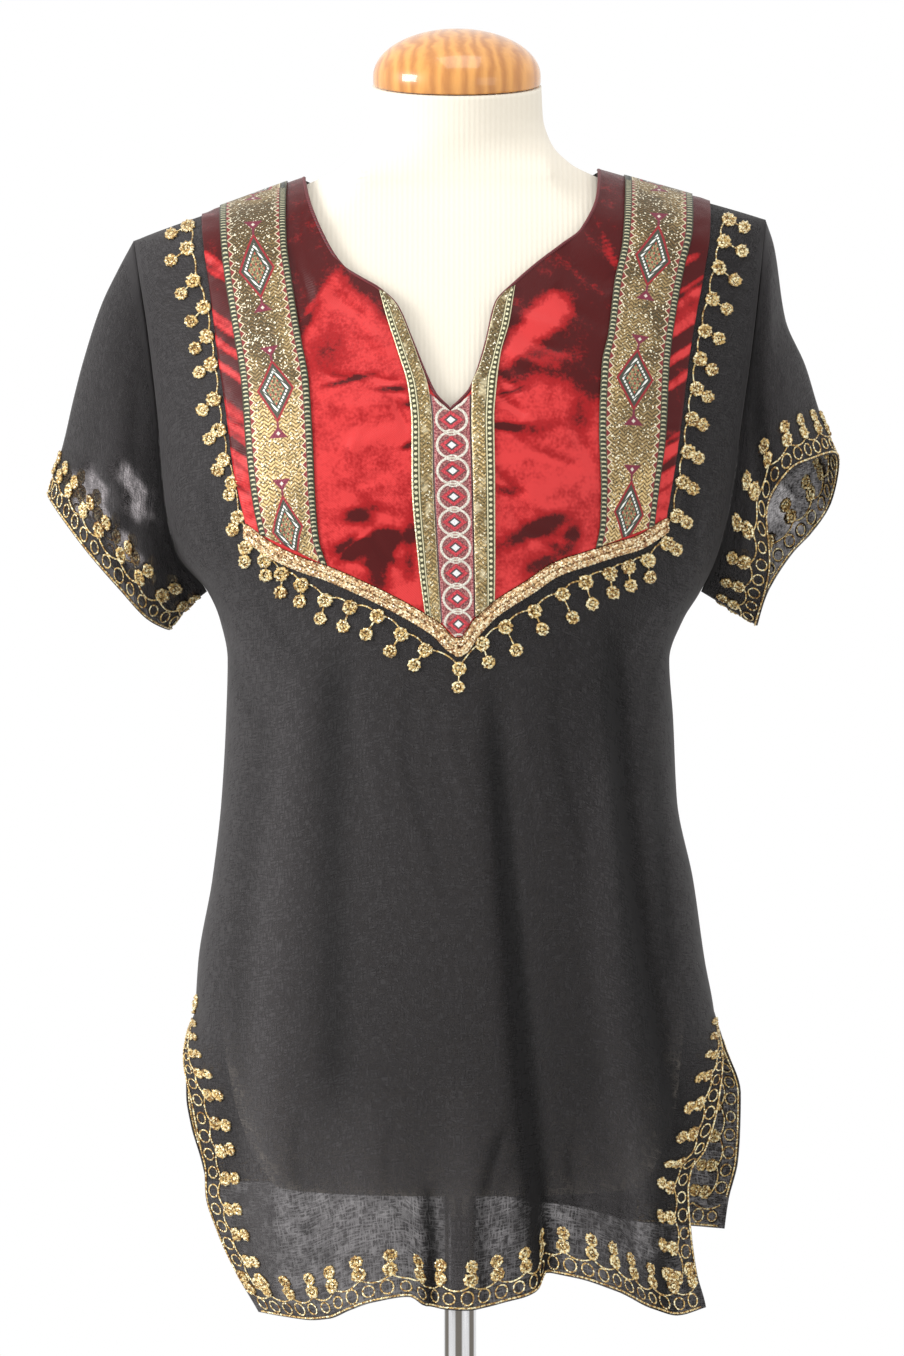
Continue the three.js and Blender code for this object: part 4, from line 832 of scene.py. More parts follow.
def satin_painted_light(x, z):
    """Painted light on the satin at a place, from 0 (shaded) to 1 (lit): painted shade above the dark
    lines, the listed painted highlights and shade, bars on the strips beside the wide ribbons, and
    creases lighter or darker by their slope.
    """
    line = np.where(x < 0, curve(SATIN_SHADED_LEFT, x), curve(SATIN_SHADED_RIGHT, x))
    light = 0.86 * ease((line - z) / 14 + 0.5) + 0.06
    for middle_x, middle_z, length, width, turn, amount in SATIN_PAINTED_LIGHTS:
        ux, uz = math.cos(math.radians(turn)), math.sin(math.radians(turn))
        along = ((x - middle_x) * ux + (z - middle_z) * uz) / length
        away = ((z - middle_z) * ux - (x - middle_x) * uz) / width
        light += amount * np.exp(-((along ** 2 + away ** 2) ** 1.5))
    # Painted light and shade on the narrow strips beside the wide ribbons: slanting bars, lighter low
    # down, darker near the shoulder.
    edge = np.abs(np.where(x < 0, yoke_edge(-1, z), yoke_edge(1, z)))
    slant = z - 0.7 * np.abs(x)
    bars = np.sin(slant * np.where(x < 0, 0.31, 0.25) + 2.3 * np.sin(slant * 0.093) + np.sign(x))
    bars += 0.45 * np.sin(slant * 0.57 + 1.9 * np.sin(slant * 0.21))
    strip = 0.38 + 0.9 * (bars - 0.2) + 1.8 * ease((735 - z) / 60) - 1.6 * ease((z - 838) / 14)
    light = mix(light, np.clip(strip, 0, 1), ease((16 - (edge - np.abs(x))) / 4))
    # Painted light and shade by the slope of each crease.
    step = 0.9
    lean_x = satin_height(x + step, z) - satin_height(x - step, z)
    lean_z = satin_height(x, z + step) - satin_height(x, z - step)
    return light - 0.16 * lean_x - 0.34 * lean_z


def yoke_half(side, columns, low_rows, high_rows):
    """Rows of points from the braid to the shoulder, from the middle out to one side."""
    edge = seated(YOKE_LEFT if side < 0 else YOKE_RIGHT)
    neckline = NECKLINE_LEFT if side < 0 else NECKLINE_RIGHT
    share = np.linspace(0, 1, columns + 1)[None, :]
    foot_z = float(above_braid(BRAID_POINT))
    t = np.linspace(0, 1, low_rows + 1)[:, None]
    outer_x, outer_z = on_edge(edge, 0.42 * t)
    x = mix(mix(BRAID_POINT, V_POINT[0], t), outer_x, share)
    sag = above_braid(mix(BRAID_POINT, edge[0][1], share)) - mix(foot_z, edge[0][0], share)
    z = mix(mix(foot_z, V_POINT[1], t), outer_z, share) + (1 - t) * sag
    t = crowded(0.6, high_rows // 2, high_rows // 2)[1:]
    outer_x, outer_z = on_edge(edge, mix(0.42, 1, t))
    neck_x, neck_z = on_edge(neckline, t)
    high_x, high_z = mix(neck_x, outer_x, share), mix(neck_z, outer_z, share)
    high_z[-1] = shoulder_height(high_x[-1])
    return np.vstack([x, high_x]), np.vstack([z, high_z])


def satin_material():
    """Crimson satin twill: painted shade in its folds and painted highlights on its crests, as shaded,
    middle and lit reds, with random blotches and a soft speckle in that painted light.
    """
    finish = Finish("crimson satin")
    # Random blotches that move the painted shine and the roughness.
    shine_blotches = finish.grain(75.0, 4.0, 0.65)
    twill = finish.wave("DIAGONAL", 420.0, 1.5, 1.0)
    painted_shine = finish.attribute("light") + shine_blotches.span(0.25, 0.75, -0.20, 0.20)
    painted_shine += finish.grain(520.0, 2.0, 0.6).span(0.25, 0.75, -0.13, 0.13)
    # Shaded, middle and lit copies of the crimson, laid by the painted shine.
    finish.colour = (0.062, 0.0035, 0.0035)
    finish.paint(painted_shine.span(0.10, 0.62), (0.35, 0.009, 0.011))
    finish.paint(painted_shine.span(0.62, 1.10), (0.64, 0.044, 0.044))
    finish.paint(twill * 0.18, (0.10, 0.003, 0.005))
    finish.bump(twill * 0.4 + finish.grain(160.0, 3.0, 0.6), 0.35, 0.0006)
    return finish.mixed({"Roughness": shine_blotches.span(0.3, 0.7, 0.42, 0.30), "Specular IOR Level": 0.17})


yoke_plan = [yoke_half(side, 96, 80, 84) for side in (-1, 1)]
yoke_grids = [front_point(x, z, YOKE_LIFT + SATIN + 0.8 * satin_height(x, z)) for x, z in yoke_plan]
# The light attribute holds the painted light and shade that pick the satin's shaded and lit reds.
yoke = sheet_object("yoke_satin", yoke_grids, forwards, thickness=SATIN,
                    attributes={"light": [satin_painted_light(x, z) for x, z in yoke_plan]})
finish_piece(yoke, satin_material(), "satin", "yoke")


def tube(centres, radii, normals, sides=6, closed=False):
    """Points, faces and rise of a round strand along centres that lies along a surface. In mm."""
    if closed:
        along = np.roll(centres, -1, 0) - np.roll(centres, 1, 0)
    else:
        along = np.gradient(centres, axis=0)
    along /= np.linalg.norm(along, axis=1, keepdims=True) + 1e-9
    across = np.cross(normals, along)
    across /= np.linalg.norm(across, axis=1, keepdims=True) + 1e-9
    up = np.cross(along, across)
    angle = (2 * np.pi * np.arange(sides) / sides)[:, None]
    around = np.cos(angle) * across[:, None] + np.sin(angle) * up[:, None]
    count = len(centres)
    points = centres[:, None] + around * np.broadcast_to(radii, count)[:, None, None]
    index = np.arange(count * sides).reshape(count, sides)
    if closed:
        index = np.vstack([index, index[:1]])
    after = np.roll(index, -1, 1)
    faces = np.stack([index[:-1], after[:-1], after[1:], index[1:]], -1).reshape(-1, 4).tolist()
    if not closed:
        faces += [index[0][::-1].tolist(), index[-1].tolist()]
    return points.reshape(-1, 3), faces, np.tile((1 + np.sin(angle[:, 0])) / 2, count)


def joined(name, parts):
    """One mesh from many (points in mm, faces, rise above the cloth), with a tone for each."""
    faces, tones, start = [], [], 0
    pick = np.random.default_rng(len(parts))
    for block, sides, _ in parts:
        faces += [[corner + start for corner in face] for face in sides]
        tones.append(np.full(len(block), pick.random()))
        start += len(block)
    made = new_piece(name, np.vstack([part[0] for part in parts]), faces)
    set_attribute(made.data, "tone", np.concatenate(tones))
    set_attribute(made.data, "rise", np.concatenate([part[2] for part in parts]))
    bpy.ops.object.shade_smooth()
    return made


def front_frame(x, z, lift=0.0):
    """Places on the front with a lift, and the directions that leave the cloth there."""
    low = front_point(x, z, lift)
    return low, front_point(x, z, lift + 1.0) - low


def piping_material():
    finish = Finish("dark red piping")
    twist = finish.wave("DIAGONAL", 260.0)
    finish.colour = finish.blend(twist, (0.05, 0.004, 0.006), (0.16, 0.008, 0.014))
    finish.bump(twist, 0.5, 0.0004)
    return finish.mixed({"Roughness": 0.5})


down = np.linspace(1, 0, 90)
left_x, left_z = on_edge(NECKLINE_LEFT, down)
right_x, right_z = on_edge(NECKLINE_RIGHT, down[::-1][1:])
centres, outwards = front_frame(np.append(left_x, right_x), np.append(left_z, right_z), YOKE_LIFT + 0.2)
piping = joined("neckline_piping", [tube(centres, PIPING_RADIUS, outwards, 8)])
finish_piece(piping, piping_material(), "satin")

# ---- wide ribbons ------------------------------------------------------------------------
# Two broad gold brocade ribbons stitched down on the satin from the shoulders to the chevron.
# Rope edges run beside a gold ground with upright diamonds that have small triangles at their tips.
RIBBON_LIFT = YOKE_LIFT + SATIN + 0.5
RIBBON_WALL = 0.8
WIDE_RIBBONS = [
    {
        "name": "ribbon_left", "node": "ribbon_wide_left", "diamonds": [924, 829.5, 751.7, 664.5, 580],
        "outer": [(664, -125.1), (679.2, -128.8), (713.1, -133.4), (756.2, -137.1), (796.5, -144),
                  (836.5, -150.6), (874.8, -154.6)],
        "inner": [(643, -82.6), (656.9, -87.6), (679.2, -89.8), (724, -92.1), (758.1, -94.8),
                  (784.9, -99.9), (825.9, -106.8), (849.8, -110.1), (891.2, -111.2)],
    },
    {
        "name": "ribbon_right", "node": "ribbon_wide_right", "diamonds": [930, 837, 758.7, 674.6, 590],
        "outer": [(668.5, 120.9), (690.5, 123.8), (724, 128.4), (768.4, 131.2), (808.1, 137),
                  (835.1, 142.8), (855.6, 147.8), (883, 149.9)],
        "inner": [(653.8, 84.1), (668, 86.9), (690.5, 87.4), (724, 86.4), (768.4, 88.6),
                  (788.2, 92.9), (821.6, 97.3), (848.8, 102.9), (894.5, 106)],
    },
]
RIBBON_HALF = 22.0
DIAMOND_HALF = 12.2
DIAMOND_PITCH = 81.0  # from one diamond's middle to the next
DIAMOND_REACH = 20.0  # half a diamond's height


def ribbon_plan(outer, inner, columns, levels):
    """Places across and along a ribbon, and the share of its width at each."""
    share = np.linspace(0, 1, columns + 1)[None, :]
    outer_x, outer_z = on_edge(seated(outer), levels)
    inner_x, inner_z = on_edge(seated(inner), levels)
    return mix(outer_x, inner_x, share), mix(outer_z, inner_z, share), share + 0 * levels


def ribbon_measure(grid, x, z):
    """Length along a ribbon's own axis at each of its points, and that length for a height."""
    middle = grid.shape[1] // 2
    line_x, line_z = x[:, middle], z[:, middle]
    arc = arc_lengths(grid[:, middle])
    lean = (np.interp(z + 12, line_z, line_x) - np.interp(z - 12, line_z, line_x)) / 24
    away = x - np.interp(z, line_z, line_x)
    along = np.interp(z, line_z, arc) + away * lean / np.hypot(1, lean)
    return along + np.minimum(0, z - line_z[0]), lambda height: np.interp(height, line_z, arc)


def ribbon_object(name, x, z, share, diamonds=()):
    """A ribbon whose UV map holds -1 to 1 across it and mm along it."""
    grid = front_point(x, z, RIBBON_LIFT + RIBBON_WALL)
    along, length_at = ribbon_measure(grid, x, z)
    attributes = {}
    if diamonds:
        keys = [length_at(height) if height > z.min() + 20 else height - z[0].mean()
                for height in diamonds]
        order = np.argsort(keys)
        attributes["repeat"] = [np.interp(along, np.array(keys)[order], order.astype(float))]
    return sheet_object(name, [grid], forwards, thickness=RIBBON_WALL, attributes=attributes,
                        uv=np.stack([share * 2 - 1, along], -1))


def ribbon_cut(finish):
    """The two measures of a ribbon's UV map: across it and along it."""
    cut = finish.add("ShaderNodeUVMap", 0, uv_map="cut")
    return finish.axis(0, cut), finish.axis(1, cut)


def flecks(finish, size):
    """A random amount for each small stitch, and the distance to the stitch's middle."""
    colour = finish.add("ShaderNodeTexVoronoi", "Color", {"Vector": finish.where, "Scale": size})
    pick = finish.add("ShaderNodeSeparateColor", 0, {"Color": colour})
    return pick, Amount(finish.tree, colour.socket.node.outputs["Distance"])


def gold_weave(finish, across, along):
    """Ground of flat gold thread: fine zigzag ribs in random patches, with painted shade towards the top,
    dark specks, and painted glints here and there.
    """
    ribs = abs((abs(across.cycle(6.0)) * 5.0 + along).cycle(2.6))
    patch = finish.grain(24.0, 2.0, 0.5).span(0.40, 0.62, -0.3, 0.3)
    # Painted shade: the gold darkens towards the top, from 0.69 m up to 0.805 m.
    patch = (patch + finish.axis(2).span(0.690, 0.805, 0.85, 0.12)).limited(0.0, 1.0)
    ground = finish.blend(patch, (0.050, 0.030, 0.009), (0.21, 0.130, 0.042))
    thread = finish.blend(patch, (0.145, 0.090, 0.030), (0.62, 0.445, 0.195))
    finish.colour = finish.blend(ribs.span(0.10, 0.34), ground, thread)
    pick, _ = flecks(finish, 1250.0)
    finish.paint(pick.span(0.20, 0.08), (0.060, 0.050, 0.022))
    # Painted glints on single stitches.
    finish.paint(pick.span(0.90, 0.95), (0.90, 0.84, 0.64))
    return ribs


def brocade_material():
    """Gold brocade with red teeth, upright diamonds, small triangles and roped edges."""
    finish = Finish("gold brocade")
    side, along = ribbon_cut(finish)
    across, side = side * RIBBON_HALF, abs(side)
    out = abs(across)
    ribs = gold_weave(finish, across, along)
    # small red teeth along both sides of the ground
    tooth = side - abs(along.cycle(6.2)) * 0.30
    finish.paint(tooth.between(0.665, 0.9, 0.012), (0.20, 0.022, 0.022))
    finish.paint(tooth.between(0.63, 0.665, 0.015), (0.70, 0.62, 0.42))
    # diamonds
    local = (finish.attribute("repeat") + 0.5).cycle(1.0) * DIAMOND_PITCH
    rhomb = out / DIAMOND_HALF + abs(local) / DIAMOND_REACH
    finish.paint(rhomb.within(1.0, 0.02), (0.27, 0.012, 0.018))
    finish.paint(rhomb.within(0.87, 0.02), (0.050, 0.052, 0.036))
    dash = abs((along + across).cycle(3.1)).span(0.10, 0.26)
    finish.paint(rhomb.between(0.58, 0.70, 0.02) * dash, (0.80, 0.82, 0.76))
    finish.paint(rhomb.within(0.57, 0.015), (0.04, 0.055, 0.035))
    knots = abs((across - local * 0.6).cycle(3.4))
    knots = abs((across + local * 0.6).cycle(3.4)).calc("MAXIMUM", knots)
    heart = finish.blend(finish.grain(900.0, 1.0, 0.5).span(0.40, 0.60), (0.075, 0.065, 0.032),
                         (0.36, 0.29, 0.145))
    heart = finish.blend(knots.span(0.10, 0.24, 1.0, 0.0), heart, (0.42, 0.045, 0.030))
    finish.paint(rhomb.within(0.48, 0.02), heart)
    # triangles whose points touch the diamonds' tips
    beyond = abs(local) - DIAMOND_REACH
    slant = out - (beyond * 0.95 - 1.9).calc("MAXIMUM", 0.75)
    finish.paint(beyond.between(-1.0, 8.6, 0.3) * slant.within(0.0, 0.4), (0.17, 0.018, 0.04))
    bead = out + abs(beyond - 6.0)
    finish.paint(bead.span(0.8, 1.7, 1.0, 0.0), (0.66, 0.60, 0.50))
    # rope edges
    bars = abs((along + abs(side - 0.89) ** 2.0 * 60.0).cycle(2.9))
    rope = finish.blend(bars.span(0.24, 0.40), (0.020, 0.026, 0.014), (0.50, 0.47, 0.30))
    finish.paint(side.past(0.795, 0.012), rope)
    finish.paint(side.between(0.795, 0.825, 0.008), (0.055, 0.050, 0.025))
    finish.paint(side.past(0.965, 0.008), (0.060, 0.055, 0.030))
    height = ribs * 0.8 + side.past(0.795, 0.03) * (bars * 2.0)
    finish.bump(height + finish.grain(1500.0, 1.0, 0.5), 0.55, 0.0006)
    return finish.mixed({"Metallic": 0.35, "Roughness": ribs.span(0.0, 0.5, 0.5, 0.34)})


brocade = brocade_material()
for row in WIDE_RIBBONS:
    x, z, share = ribbon_plan(row["outer"], row["inner"], 16, crowded(0.75, 100, 50))
    z[-1] = shoulder_height(x[-1])
    ribbon = ribbon_object(row["name"], x, z, share, row["diamonds"])
    finish_piece(ribbon, brocade, "gold_ribbon", row["node"])

# ---- narrow ribbons ----------------------------------------------------------------------
# Two narrow gold ribbons that edge the neckline's lower half and run on to the chevron. Each has
# a dark beaded stripe outside and a lattice of gold thread inside.
NARROW_RIBBONS = [
    {
        "name": "neck_ribbon_left", "node": "ribbon_neck_left",
        "outer": [(608.5, -22), (644.8, -26.3), (695.6, -30.3), (728.8, -30.4), (752.4, -32.7),
                  (775.7, -39.3), (797, -46.1), (815.6, -51.2)],
        "inner": [(602.6, -12), (644.8, -14.4), (695.6, -17), (728.8, -17.5), (751.2, -19.8),
                  (772.2, -26.7), (784.9, -31.3), (805.9, -40.4), (814.6, -48.5)],
    },
    {
        "name": "neck_ribbon_right", "node": "ribbon_neck_right",
        "outer": [(619, 21.3), (644.8, 21.6), (695.6, 21.5), (733.5, 21.1), (752.4, 22.5),
                  (773.8, 25.2), (795, 30.9), (818.4, 34.6)],
        "inner": [(607.8, 9.4), (644.8, 8.8), (695.6, 7.8), (733.5, 6.9), (753.6, 7.2),
                  (765.7, 11.8), (781.6, 16.4), (796.2, 19.6), (807.5, 22.8), (815, 29)],
    },
]
NARROW_HALF = 6.2


def far(a, b):
    return (a ** 2.0 + b ** 2.0).calc("SQRT")


def lattice_material():
    """Gold ribbon with a lattice inside and a beaded dark stripe outside."""
    finish = Finish("gold lattice ribbon")
    side, along = ribbon_cut(finish)
    across = side * NARROW_HALF
    ribs = gold_weave(finish, across, along)
    net = abs((along + across).cycle(4.4)).calc("MINIMUM", abs((along - across).cycle(4.4)))
    finish.paint(net.span(0.05, 0.14, 0.85, 0.0), (0.16, 0.12, 0.045))
    finish.paint(finish.grain(110.0, 2.0, 0.5).span(0.52, 0.68) * 0.5, (0.84, 0.74, 0.48))
    finish.paint(side.between(-0.93, -0.30, 0.02), (0.055, 0.050, 0.022))
    bead = far(across + 0.6 * NARROW_HALF, along.cycle(3.5) * 3.5).span(0.75, 1.25, 1.0, 0.0)
    finish.paint(bead, (0.70, 0.66, 0.42))
    for low, high in ((-1.1, -0.88), (-0.36, -0.25), (0.93, 1.1)):
        finish.paint(side.between(low, high, 0.02), (0.66, 0.60, 0.38))
    finish.paint(side.between(-0.25, -0.17, 0.02), (0.06, 0.06, 0.03))
    finish.bump(bead * 1.6 + ribs * 0.7 + net * 1.5, 0.6, 0.0006)
    return finish.mixed({"Metallic": 0.4, "Roughness": 0.38})


lattice = lattice_material()
for row in NARROW_RIBBONS:
    levels = np.linspace(0, 1, 91)[:, None]
    ribbon = ribbon_object(row["name"], *ribbon_plan(row["outer"], row["inner"], 6, levels))
    finish_piece(ribbon, lattice, "gold_ribbon", row["node"])

# ---- centre trim -------------------------------------------------------------------------
# A strip of woven trim in red, cream and grey between the narrow ribbons, from the neckline's
# point to the chevron, with a row of small diamonds in linked rings.
TRIM_REPEAT = 15.87
TRIM_RING_Z = 731.8  # height of the uppermost ring's middle
TRIM_WALL = 1.0
TRIM_HALF = 12.0


def trim_plan(columns, rows):
    """Places on the trim from its foot up, and -1 to 1 across it."""
    share = np.linspace(-1, 1, columns + 1)[None, :]
    t = np.linspace(0, 1, rows + 1)[:, None]
    left, right = NARROW_RIBBONS[0]["inner"], NARROW_RIBBONS[1]["inner"]
    out = np.abs(share)
    corner = np.where(share < 0, left[0][1], right[0][1])
    foot = above_braid(mix(BRAID_POINT, corner, out)) + 0.6
    z = mix(foot, mix(V_POINT[1] - 1.5, 748, out), t)
    edge = np.where(share < 0, curve(left, z), curve(right, z)) - np.sign(share) * 0.4
    return mix(mix(BRAID_POINT, V_POINT[0], t), edge, out), z, share + 0 * t


def medallion_material():
    """Woven trim: grey stars in crimson diamonds, ringed in cream, on a red ground."""
    finish = Finish("woven medallion trim")
    across, along = ribbon_cut(finish)
    x, y = abs(across) * TRIM_HALF, abs(along.cycle(TRIM_REPEAT) * TRIM_REPEAT)
    weave = finish.grain(1100.0, 1.0, 0.5).span(0.40, 0.6)
    ground = finish.blend(weave, (0.13, 0.012, 0.020), (0.36, 0.13, 0.115))
    margin = finish.blend(weave, (0.22, 0.012, 0.025), (0.50, 0.20, 0.19))
    cream = finish.blend(weave, (0.50, 0.46, 0.38), (0.74, 0.71, 0.62))
    crimson = finish.blend(weave, (0.34, 0.010, 0.022), (0.62, 0.045, 0.060))
    finish.colour = finish.blend(x.past(9.6, 0.3), ground, margin)
    finish.paint(x.past(11.3, 0.2), (0.05, 0.035, 0.035))
    ring = far(x / 10.2, y / 8.6)
    finish.paint(ring.between(0.86, 1.02, 0.03), cream)
    rhomb = x / 8.2 + y / 6.2
    notched = rhomb + weave.span(0.2, 0.8) * 0.10
    finish.paint(notched.within(1.10, 0.04), (0.050, 0.030, 0.030))
    finish.paint(notched.within(1.02, 0.04), crimson)
    finish.paint(rhomb.within(0.55, 0.03), (0.045, 0.030, 0.032))
    star = x / 3.3 + y / 2.6
    finish.paint(star.within(1.15, 0.08), (0.05, 0.035, 0.035))
    finish.paint(star.within(0.85, 0.08), (0.72, 0.73, 0.72))
    knot = far(x * 0.50, y - TRIM_REPEAT / 2)
    finish.paint(knot.between(1.2, 2.0, 0.2), cream)
    finish.paint(knot.span(0.5, 0.8, 1.0, 0.0), (0.55, 0.50, 0.40))
    height = weave + ring.between(0.86, 1.02, 0.05) * 1.2 + rhomb.within(1.0, 0.1)
    finish.bump(height, 0.5, 0.0005)
    return finish.mixed({"Roughness": 0.55, "Sheen Weight": 0.15})


x, z, share = trim_plan(20, 110)
trim = sheet_object("woven_trim", [front_point(x, z, RIBBON_LIFT + TRIM_WALL)], forwards,
                    thickness=TRIM_WALL, uv=np.stack([share, z - TRIM_RING_Z - TRIM_REPEAT / 2], -1))
finish_piece(trim, medallion_material(), "woven_trim", "centre_trim")

# ---- chevron braid -----------------------------------------------------------------------
# A thick braid of glittering gold thread that covers the yoke's lower edge and comes to a point
# in the middle. It is worked in rows of chain stitch side by side.
BRAID_ENDS = (-135.5, 130.5)
BRAID_ROWS = [-1, -0.66, -0.32, 0.0, 0.32, 0.66, 1]


def stitch_radius(along, base, swell, pitch, phase=0.0):
    """Radius of a chain-stitched strand, which swells at every stitch."""
    return base * (1 + swell * np.cos(2 * np.pi * (along / pitch + phase)))


def braid_row(share, phase):
    """One row of chain stitch at a share of the braid's half width."""
    x = np.append(np.linspace(BRAID_ENDS[0], BRAID_POINT, 190)[:-1],
                  np.linspace(BRAID_POINT, BRAID_ENDS[1], 190))
    reach = np.where(np.abs(x - BRAID_POINT) < 6, 1.05, 1.0)
    sway = 0.11 * np.sin(x * 2.2 + share * 11) + 0.07 * np.sin(x * 0.83 + share * 5)
    z = curve(BRAID_LINE, x) + (share * 0.84 + sway * (1 - share ** 2)) * braid_half(x) * reach
    dome = 1.25 * np.sin(np.pi * min(1, abs(share) * 1.15)) + 0.25
    centres, outwards = front_frame(x, z, 0.6 + dome)
    wobble = 0.30 * np.sin(x * 1.9 + share * 7)[:, None] * outwards
    radii = stitch_radius(arc_lengths(centres), 1.05, 0.24, 2.2, phase)
    return tube(centres + wobble, radii, outwards)


def thread_material(name, dark, middle, bright, size, underside_shade):
    """Metallic thread in three tones that change at every stitch, a shaded, a middle and a glinting one:
    painted shade and painted glints. Painted shade darkens each strand's underside, between the stitches.
    """
    finish = Finish(name)
    pick, distance = flecks(finish, size)
    level = (finish.attribute("tone") - 0.5) * 0.18 + pick
    # Shaded, middle and glinting tones at random per stitch: painted shade and painted glints.
    finish.colour = dark
    finish.paint(level.span(0.16, 0.42), middle)
    finish.paint(level.span(0.58, 0.80), bright)
    # Painted shade on the side of each strand that faces the cloth.
    finish.paint(finish.attribute("rise").span(0.62, 0.20), tuple(underside_shade * channel for channel in dark))
    finish.bump(distance, 0.7, 0.0008)
    return finish.mixed({"Metallic": 0.45, "Roughness": pick.span(0.3, 0.9, 0.5, 0.25)})


braid = joined("chevron_braid", [braid_row(share, n * 0.37) for n, share in enumerate(BRAID_ROWS)])
# Shaded, middle and glinting tones of the braid, and its painted underside shade.
braid_gold = thread_material("glitter braid", (0.27, 0.125, 0.055), (0.62, 0.405, 0.195),
                             (1.0, 0.88, 0.60), 880.0, 0.6)
finish_piece(braid, braid_gold, "gold_braid", "braid")

# ---- embroidery --------------------------------------------------------------------------
# Gold chain stitch worked on the voile: pairs of small rosettes round the yoke, and along every
# free edge a line of rings between an edging line and hanging scallops that carry rosettes.
YOKE_ROSETTES = [
    (-175.5, 862.6, -186.1, 857.2), (-174.3, 845.8, -184.9, 838.5), (-169.9, 824.5, -177.9, 816.6),
    (-163.1, 806.8, -171.1, 798.3), (-160.7, 787.8, -168.1, 780.7), (-157.8, 769.7, -165.3, 765.2),
    (-155.6, 747.3, -163.0, 740.9), (-152.2, 727.6, -158.5, 722.6), (-149.2, 708.7, -152.8, 702.4),
    (-143.3, 694.3, -145.2, 686.7), (-139.8, 672.3, -143.3, 664.8), (-135.1, 653.4, -135.7, 644.8),
    (-122.6, 645.4, -122.0, 636.0), (-112.0, 636.7, -112.6, 625.4), (-99.5, 629.8, -100.7, 619.2),
    (-84.4, 619.8, -87.6, 608.5), (-68.8, 615.4, -73.2, 603.5), (-51.9, 609.8, -58.8, 598.5),
    (-36.9, 598.5, -43.8, 587.9), (-21.9, 588.5, -28.8, 579.1), (-0.6, 576.8, -1.3, 565.4),
    (13.8, 592.3, 17.5, 580.9), (28.2, 602.9, 35.0, 588.5), (46.3, 612.9, 51.3, 601.7),
    (63.8, 623.5, 70.1, 609.2), (78.2, 631.0, 82.6, 617.9), (93.8, 636.7, 95.7, 624.8),
    (105.7, 641.0, 107.0, 629.2), (118.2, 645.4, 119.5, 634.8), (130.1, 656.2, 136.3, 652.7),
    (136.3, 673.6, 142.8, 669.8), (140.3, 694.9, 146.8, 691.1), (143.6, 714.4, 150.2, 710.6),
    (146.4, 735.1, 153.3, 731.6), (149.5, 754.3, 156.7, 749.8), (152.1, 773.6, 159.5, 767.1),
    (155.3, 791.7, 164.3, 787.2), (160.4, 812.7, 170.0, 806.8), (165.0, 833.2, 175.6, 825.9),
    (168.8, 850.5, 180.6, 845.2), (173.1, 866.0, 183.1, 861.2),
]
THREAD = 0.55  # radius of one line of chain stitch
EDGE_IN = 1.5  # from the cloth's edge to the edging line
RING_IN = 7.4
RING_RADIUS = 3.9
RING_PITCH = 11.6
SCALLOP_IN = 15.6
SCALLOP_PITCH = 19.0
BORDER_DEPTH = 36
SLIT_BORDER_TOP = 372
UPWARDS = [0.0, 0.0, 1.0]


def patch_sampler(grid, outwards, closed=False):
    """The cloth beside a grid's first row, as a function from (mm along that edge, mm in from
    it) to a place and its outward direction, and the lengths along the edge."""
    if closed:
        grid = np.hstack([grid, grid[:, :1]])
    depth, length = arc_lengths(grid), arc_lengths(grid[0])
    at = np.arange(BORDER_DEPTH + 1.0)
    patch = np.stack([[np.interp(at, depth[:, c], grid[:, c, k]) for c in range(grid.shape[1])]
                      for k in range(3)], -1).transpose(1, 0, 2)
    normal = np.cross(np.gradient(patch, axis=1), np.gradient(patch, axis=0))
    normal /= np.linalg.norm(normal, axis=2, keepdims=True) + 1e-9
    if (normal * outwards(patch)).sum() < 0:
        normal = -normal

    def place(along, inwards):
        column = np.clip(np.interp(along, length, np.arange(len(length))), 0, len(length) - 1.001)
        row = np.clip(inwards, 0, len(patch) - 1.001)
        c, r = column.astype(int), row.astype(int)
        fc, fr = (column - c)[..., None], (row - r)[..., None]

        def read(field):
            low = mix(field[r, c], field[r, c + 1], fc)
            return mix(low, mix(field[r + 1, c], field[r + 1, c + 1], fc), fr)

        found = read(normal)
        return read(patch), found / (np.linalg.norm(found, axis=-1, keepdims=True) + 1e-9)

    return place, length[-1]


def round_motif(place, a, b, ring, radii):
    """A closed strand laid in a motif's own (across, along, up) measure, set at a place."""
    local, faces, rise = tube(ring, radii, np.tile(UPWARDS, (len(ring), 1)), 5, closed=True)
    points, normals = place(a + local[:, 0], b + local[:, 1])
    return points + normals * local[:, 2:], faces, rise


def ring_motif(place, a, b, radius, stretch):
    steps = 18
    angle = 2 * np.pi * np.arange(steps) / steps
    ring = [radius * np.cos(angle), radius * stretch * np.sin(angle), np.full(steps, THREAD * 0.5)]
    return round_motif(place, a, b, np.stack(ring, -1), THREAD * (1 + 0.16 * (-1.0) ** np.arange(steps)))


def rosette_motif(place, a, b, size, pick):
    """A coiled rosette: a lumpy outer round and a smaller inner one. size is its radius."""
    blocks = []
    start = pick.random() * 6.28
    for radius, thread, steps in ((size * 0.72, size * 0.28, 18), (size * 0.27, size * 0.20, 8)):
        angle = 2 * np.pi * np.arange(steps) / steps + start
        radii = thread * (1 + 0.26 * (-1.0) ** np.arange(steps)) * pick.uniform(0.85, 1.15, steps)
        ring = np.stack([radius * np.cos(angle), radius * np.sin(angle),
                         np.full(steps, thread * 0.55)], -1)
        ring += pick.normal(0, 0.05 * size, ring.shape)
        blocks.append(round_motif(place, a, b, ring, radii))
    return blocks


def line_motif(place, a, b, thread=THREAD):
    points, normals = place(a, b)
    centres = points + normals * thread * 0.5
    return tube(centres, stitch_radius(arc_lengths(centres), thread, 0.20, 2.6), normals, 5)


def pair_motif(place, a1, b1, a2, b2, pick, large=4.7, small=4.3):
    """Two rosettes, one beyond the other, joined by a short thread."""
    blocks = rosette_motif(place, a1, b1, large, pick) + rosette_motif(place, a2, b2, small, pick)
    steps = np.linspace(0, 1, 6)
    return blocks + [line_motif(place, mix(a1, a2, steps), mix(b1, b2, steps))]


